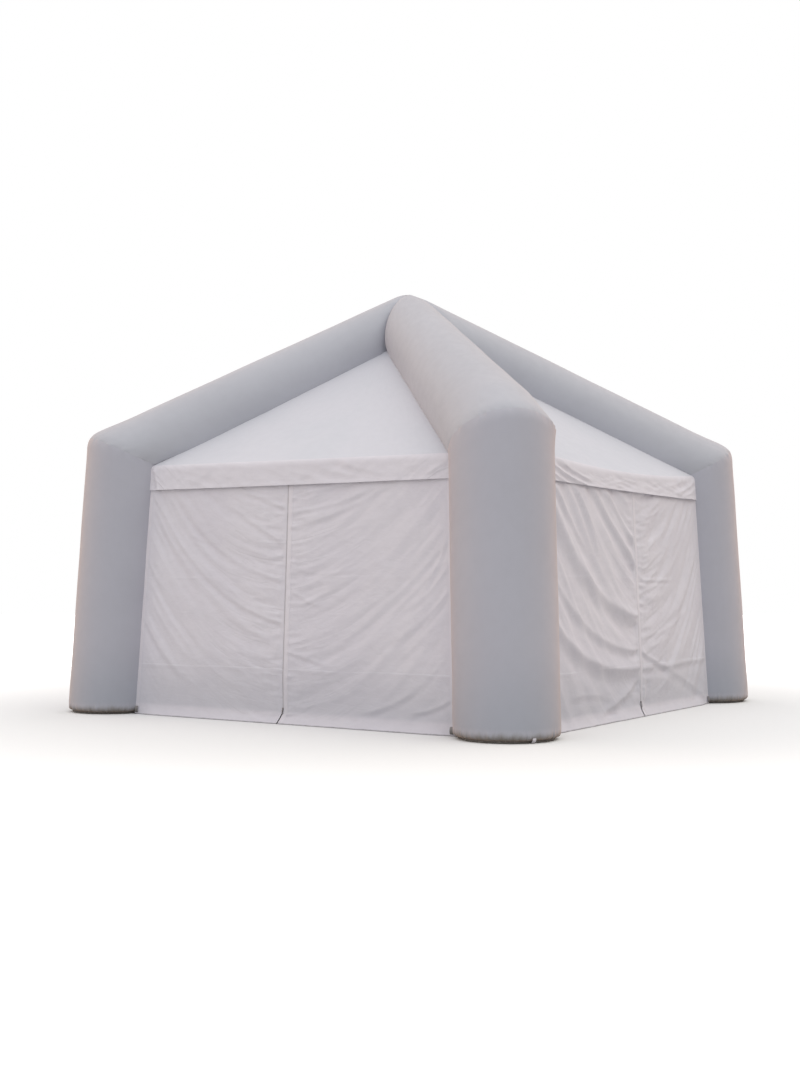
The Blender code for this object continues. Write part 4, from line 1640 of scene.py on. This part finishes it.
def make_stage():
    bm = bmesh.new()
    bmesh.ops.create_circle(bm, cap_ends=True, segments=96, radius=FLOOR_RADIUS)
    bmesh.ops.translate(bm, verts=bm.verts[:], vec=(0, 0, -FLOOR_BELOW))
    mesh = bpy.data.meshes.new("floor")
    bm.to_mesh(mesh)
    bm.free()
    floor = bpy.data.objects.new("floor", mesh)
    bpy.context.scene.collection.objects.link(floor)
    material, tree, shader = new_material("floor_pale_paper")
    around = add_node(tree, "TexCoord", {}, "Object")
    reach = add_node(tree, "VectorMath", [around], "Value", operation="LENGTH")
    ray = add_node(tree, "LightPath", {}, "Is Camera Ray")
    fade = add_node(
        tree, "MapRange", [reach, *FLOOR_FADE, 0.0, FLOOR_GLOW], **SMOOTH_STEP
    )
    glow = add_node(tree, "Math", [fade, ray], operation="MULTIPLY")
    colour = add_node(
        tree, "Mix", {0: ray, 6: linear(FLOOR_BOUNCE), 7: linear(FLOOR_COLOUR)}, **COLOUR_MIX
    )
    fill_inputs(tree, shader, {
        "Base Color": colour, "Roughness": 0.9, "Specular IOR Level": 0.0,
        "Emission Color": (1, 1, 1, 1), "Emission Strength": glow,
    })
    mesh.materials.append(material)


# Sky: its colour, its brightness at the horizon and what the zenith adds; shades, each with
# its place, how narrow it is and its strength; and glows, which have a colour as well
SKY_COLOUR = "#F5F9FF"
SKY_LEVEL = 0.72
SKY_ZENITH = 0.34
SHADES = [
    (Vector((0.95, 0.10, 0.0)), 3.0, 0.60),
    (Vector((-0.95, -0.30, 0.0)), 3.0, 0.18),
]
GLOWS = [
    (Vector((-0.95, -0.30, 0.05)), 3.0, "#FFC888", 0.72),
    (Vector((0.50, 0.86, 0.10)), 5.0, "#FFBC84", 0.52),
    (Vector((0.50, -0.87, 0.0)), 3.0, "#FFD8B8", 0.07),
    (Vector((0.50, 0.10, 0.86)), 5.0, "#FFF9E6", 0.90),
]


def make_sky():
    """White all round as the camera sees it; it lights like a bright overcast evening."""
    world = bpy.data.worlds.new("soft_sky")
    world.use_nodes = True
    tree = world.node_tree
    tree.nodes.clear()
    ways = add_node(tree, "TexCoord", {}, "Generated")

    def lobe(aim, power, strength):
        """Brightness of a soft spot in the sky, greatest where the aim points."""
        facing = add_node(
            tree, "VectorMath", [ways, aim.normalized()], "Value", operation="DOT_PRODUCT"
        )
        ahead = add_node(tree, "Math", [facing, 0.0], operation="MAXIMUM")
        spot = add_node(tree, "Math", [ahead, power], operation="POWER")
        return add_node(tree, "Math", [spot, strength], operation="MULTIPLY")

    height = add_node(tree, "SeparateXYZ", [ways], "Z")
    up = add_node(tree, "Math", [height, 0.0], operation="MAXIMUM")
    level = add_node(tree, "Math", [up, SKY_ZENITH, SKY_LEVEL], operation="MULTIPLY_ADD")
    for shade in SHADES:
        level = add_node(tree, "Math", [level, lobe(*shade)], operation="SUBTRACT")
    light = add_node(tree, "Background", {"Color": linear(SKY_COLOUR), "Strength": level})
    for aim, power, colour, strength in GLOWS:
        glow = add_node(
            tree, "Background", {"Color": linear(colour), "Strength": lobe(aim, power, strength)}
        )
        light = add_node(tree, "AddShader", [light, glow])
    seen = add_node(tree, "Background", {"Color": (1, 1, 1, 1), "Strength": 1.0})
    ray = add_node(tree, "LightPath", {}, "Is Camera Ray")
    both = add_node(tree, "MixShader", [ray, light, seen])
    add_node(tree, "OutputWorld", {"Surface": both})
    bpy.context.scene.world = world


make_stage()
make_sky()
bpy.context.scene.view_settings.view_transform = "Standard"
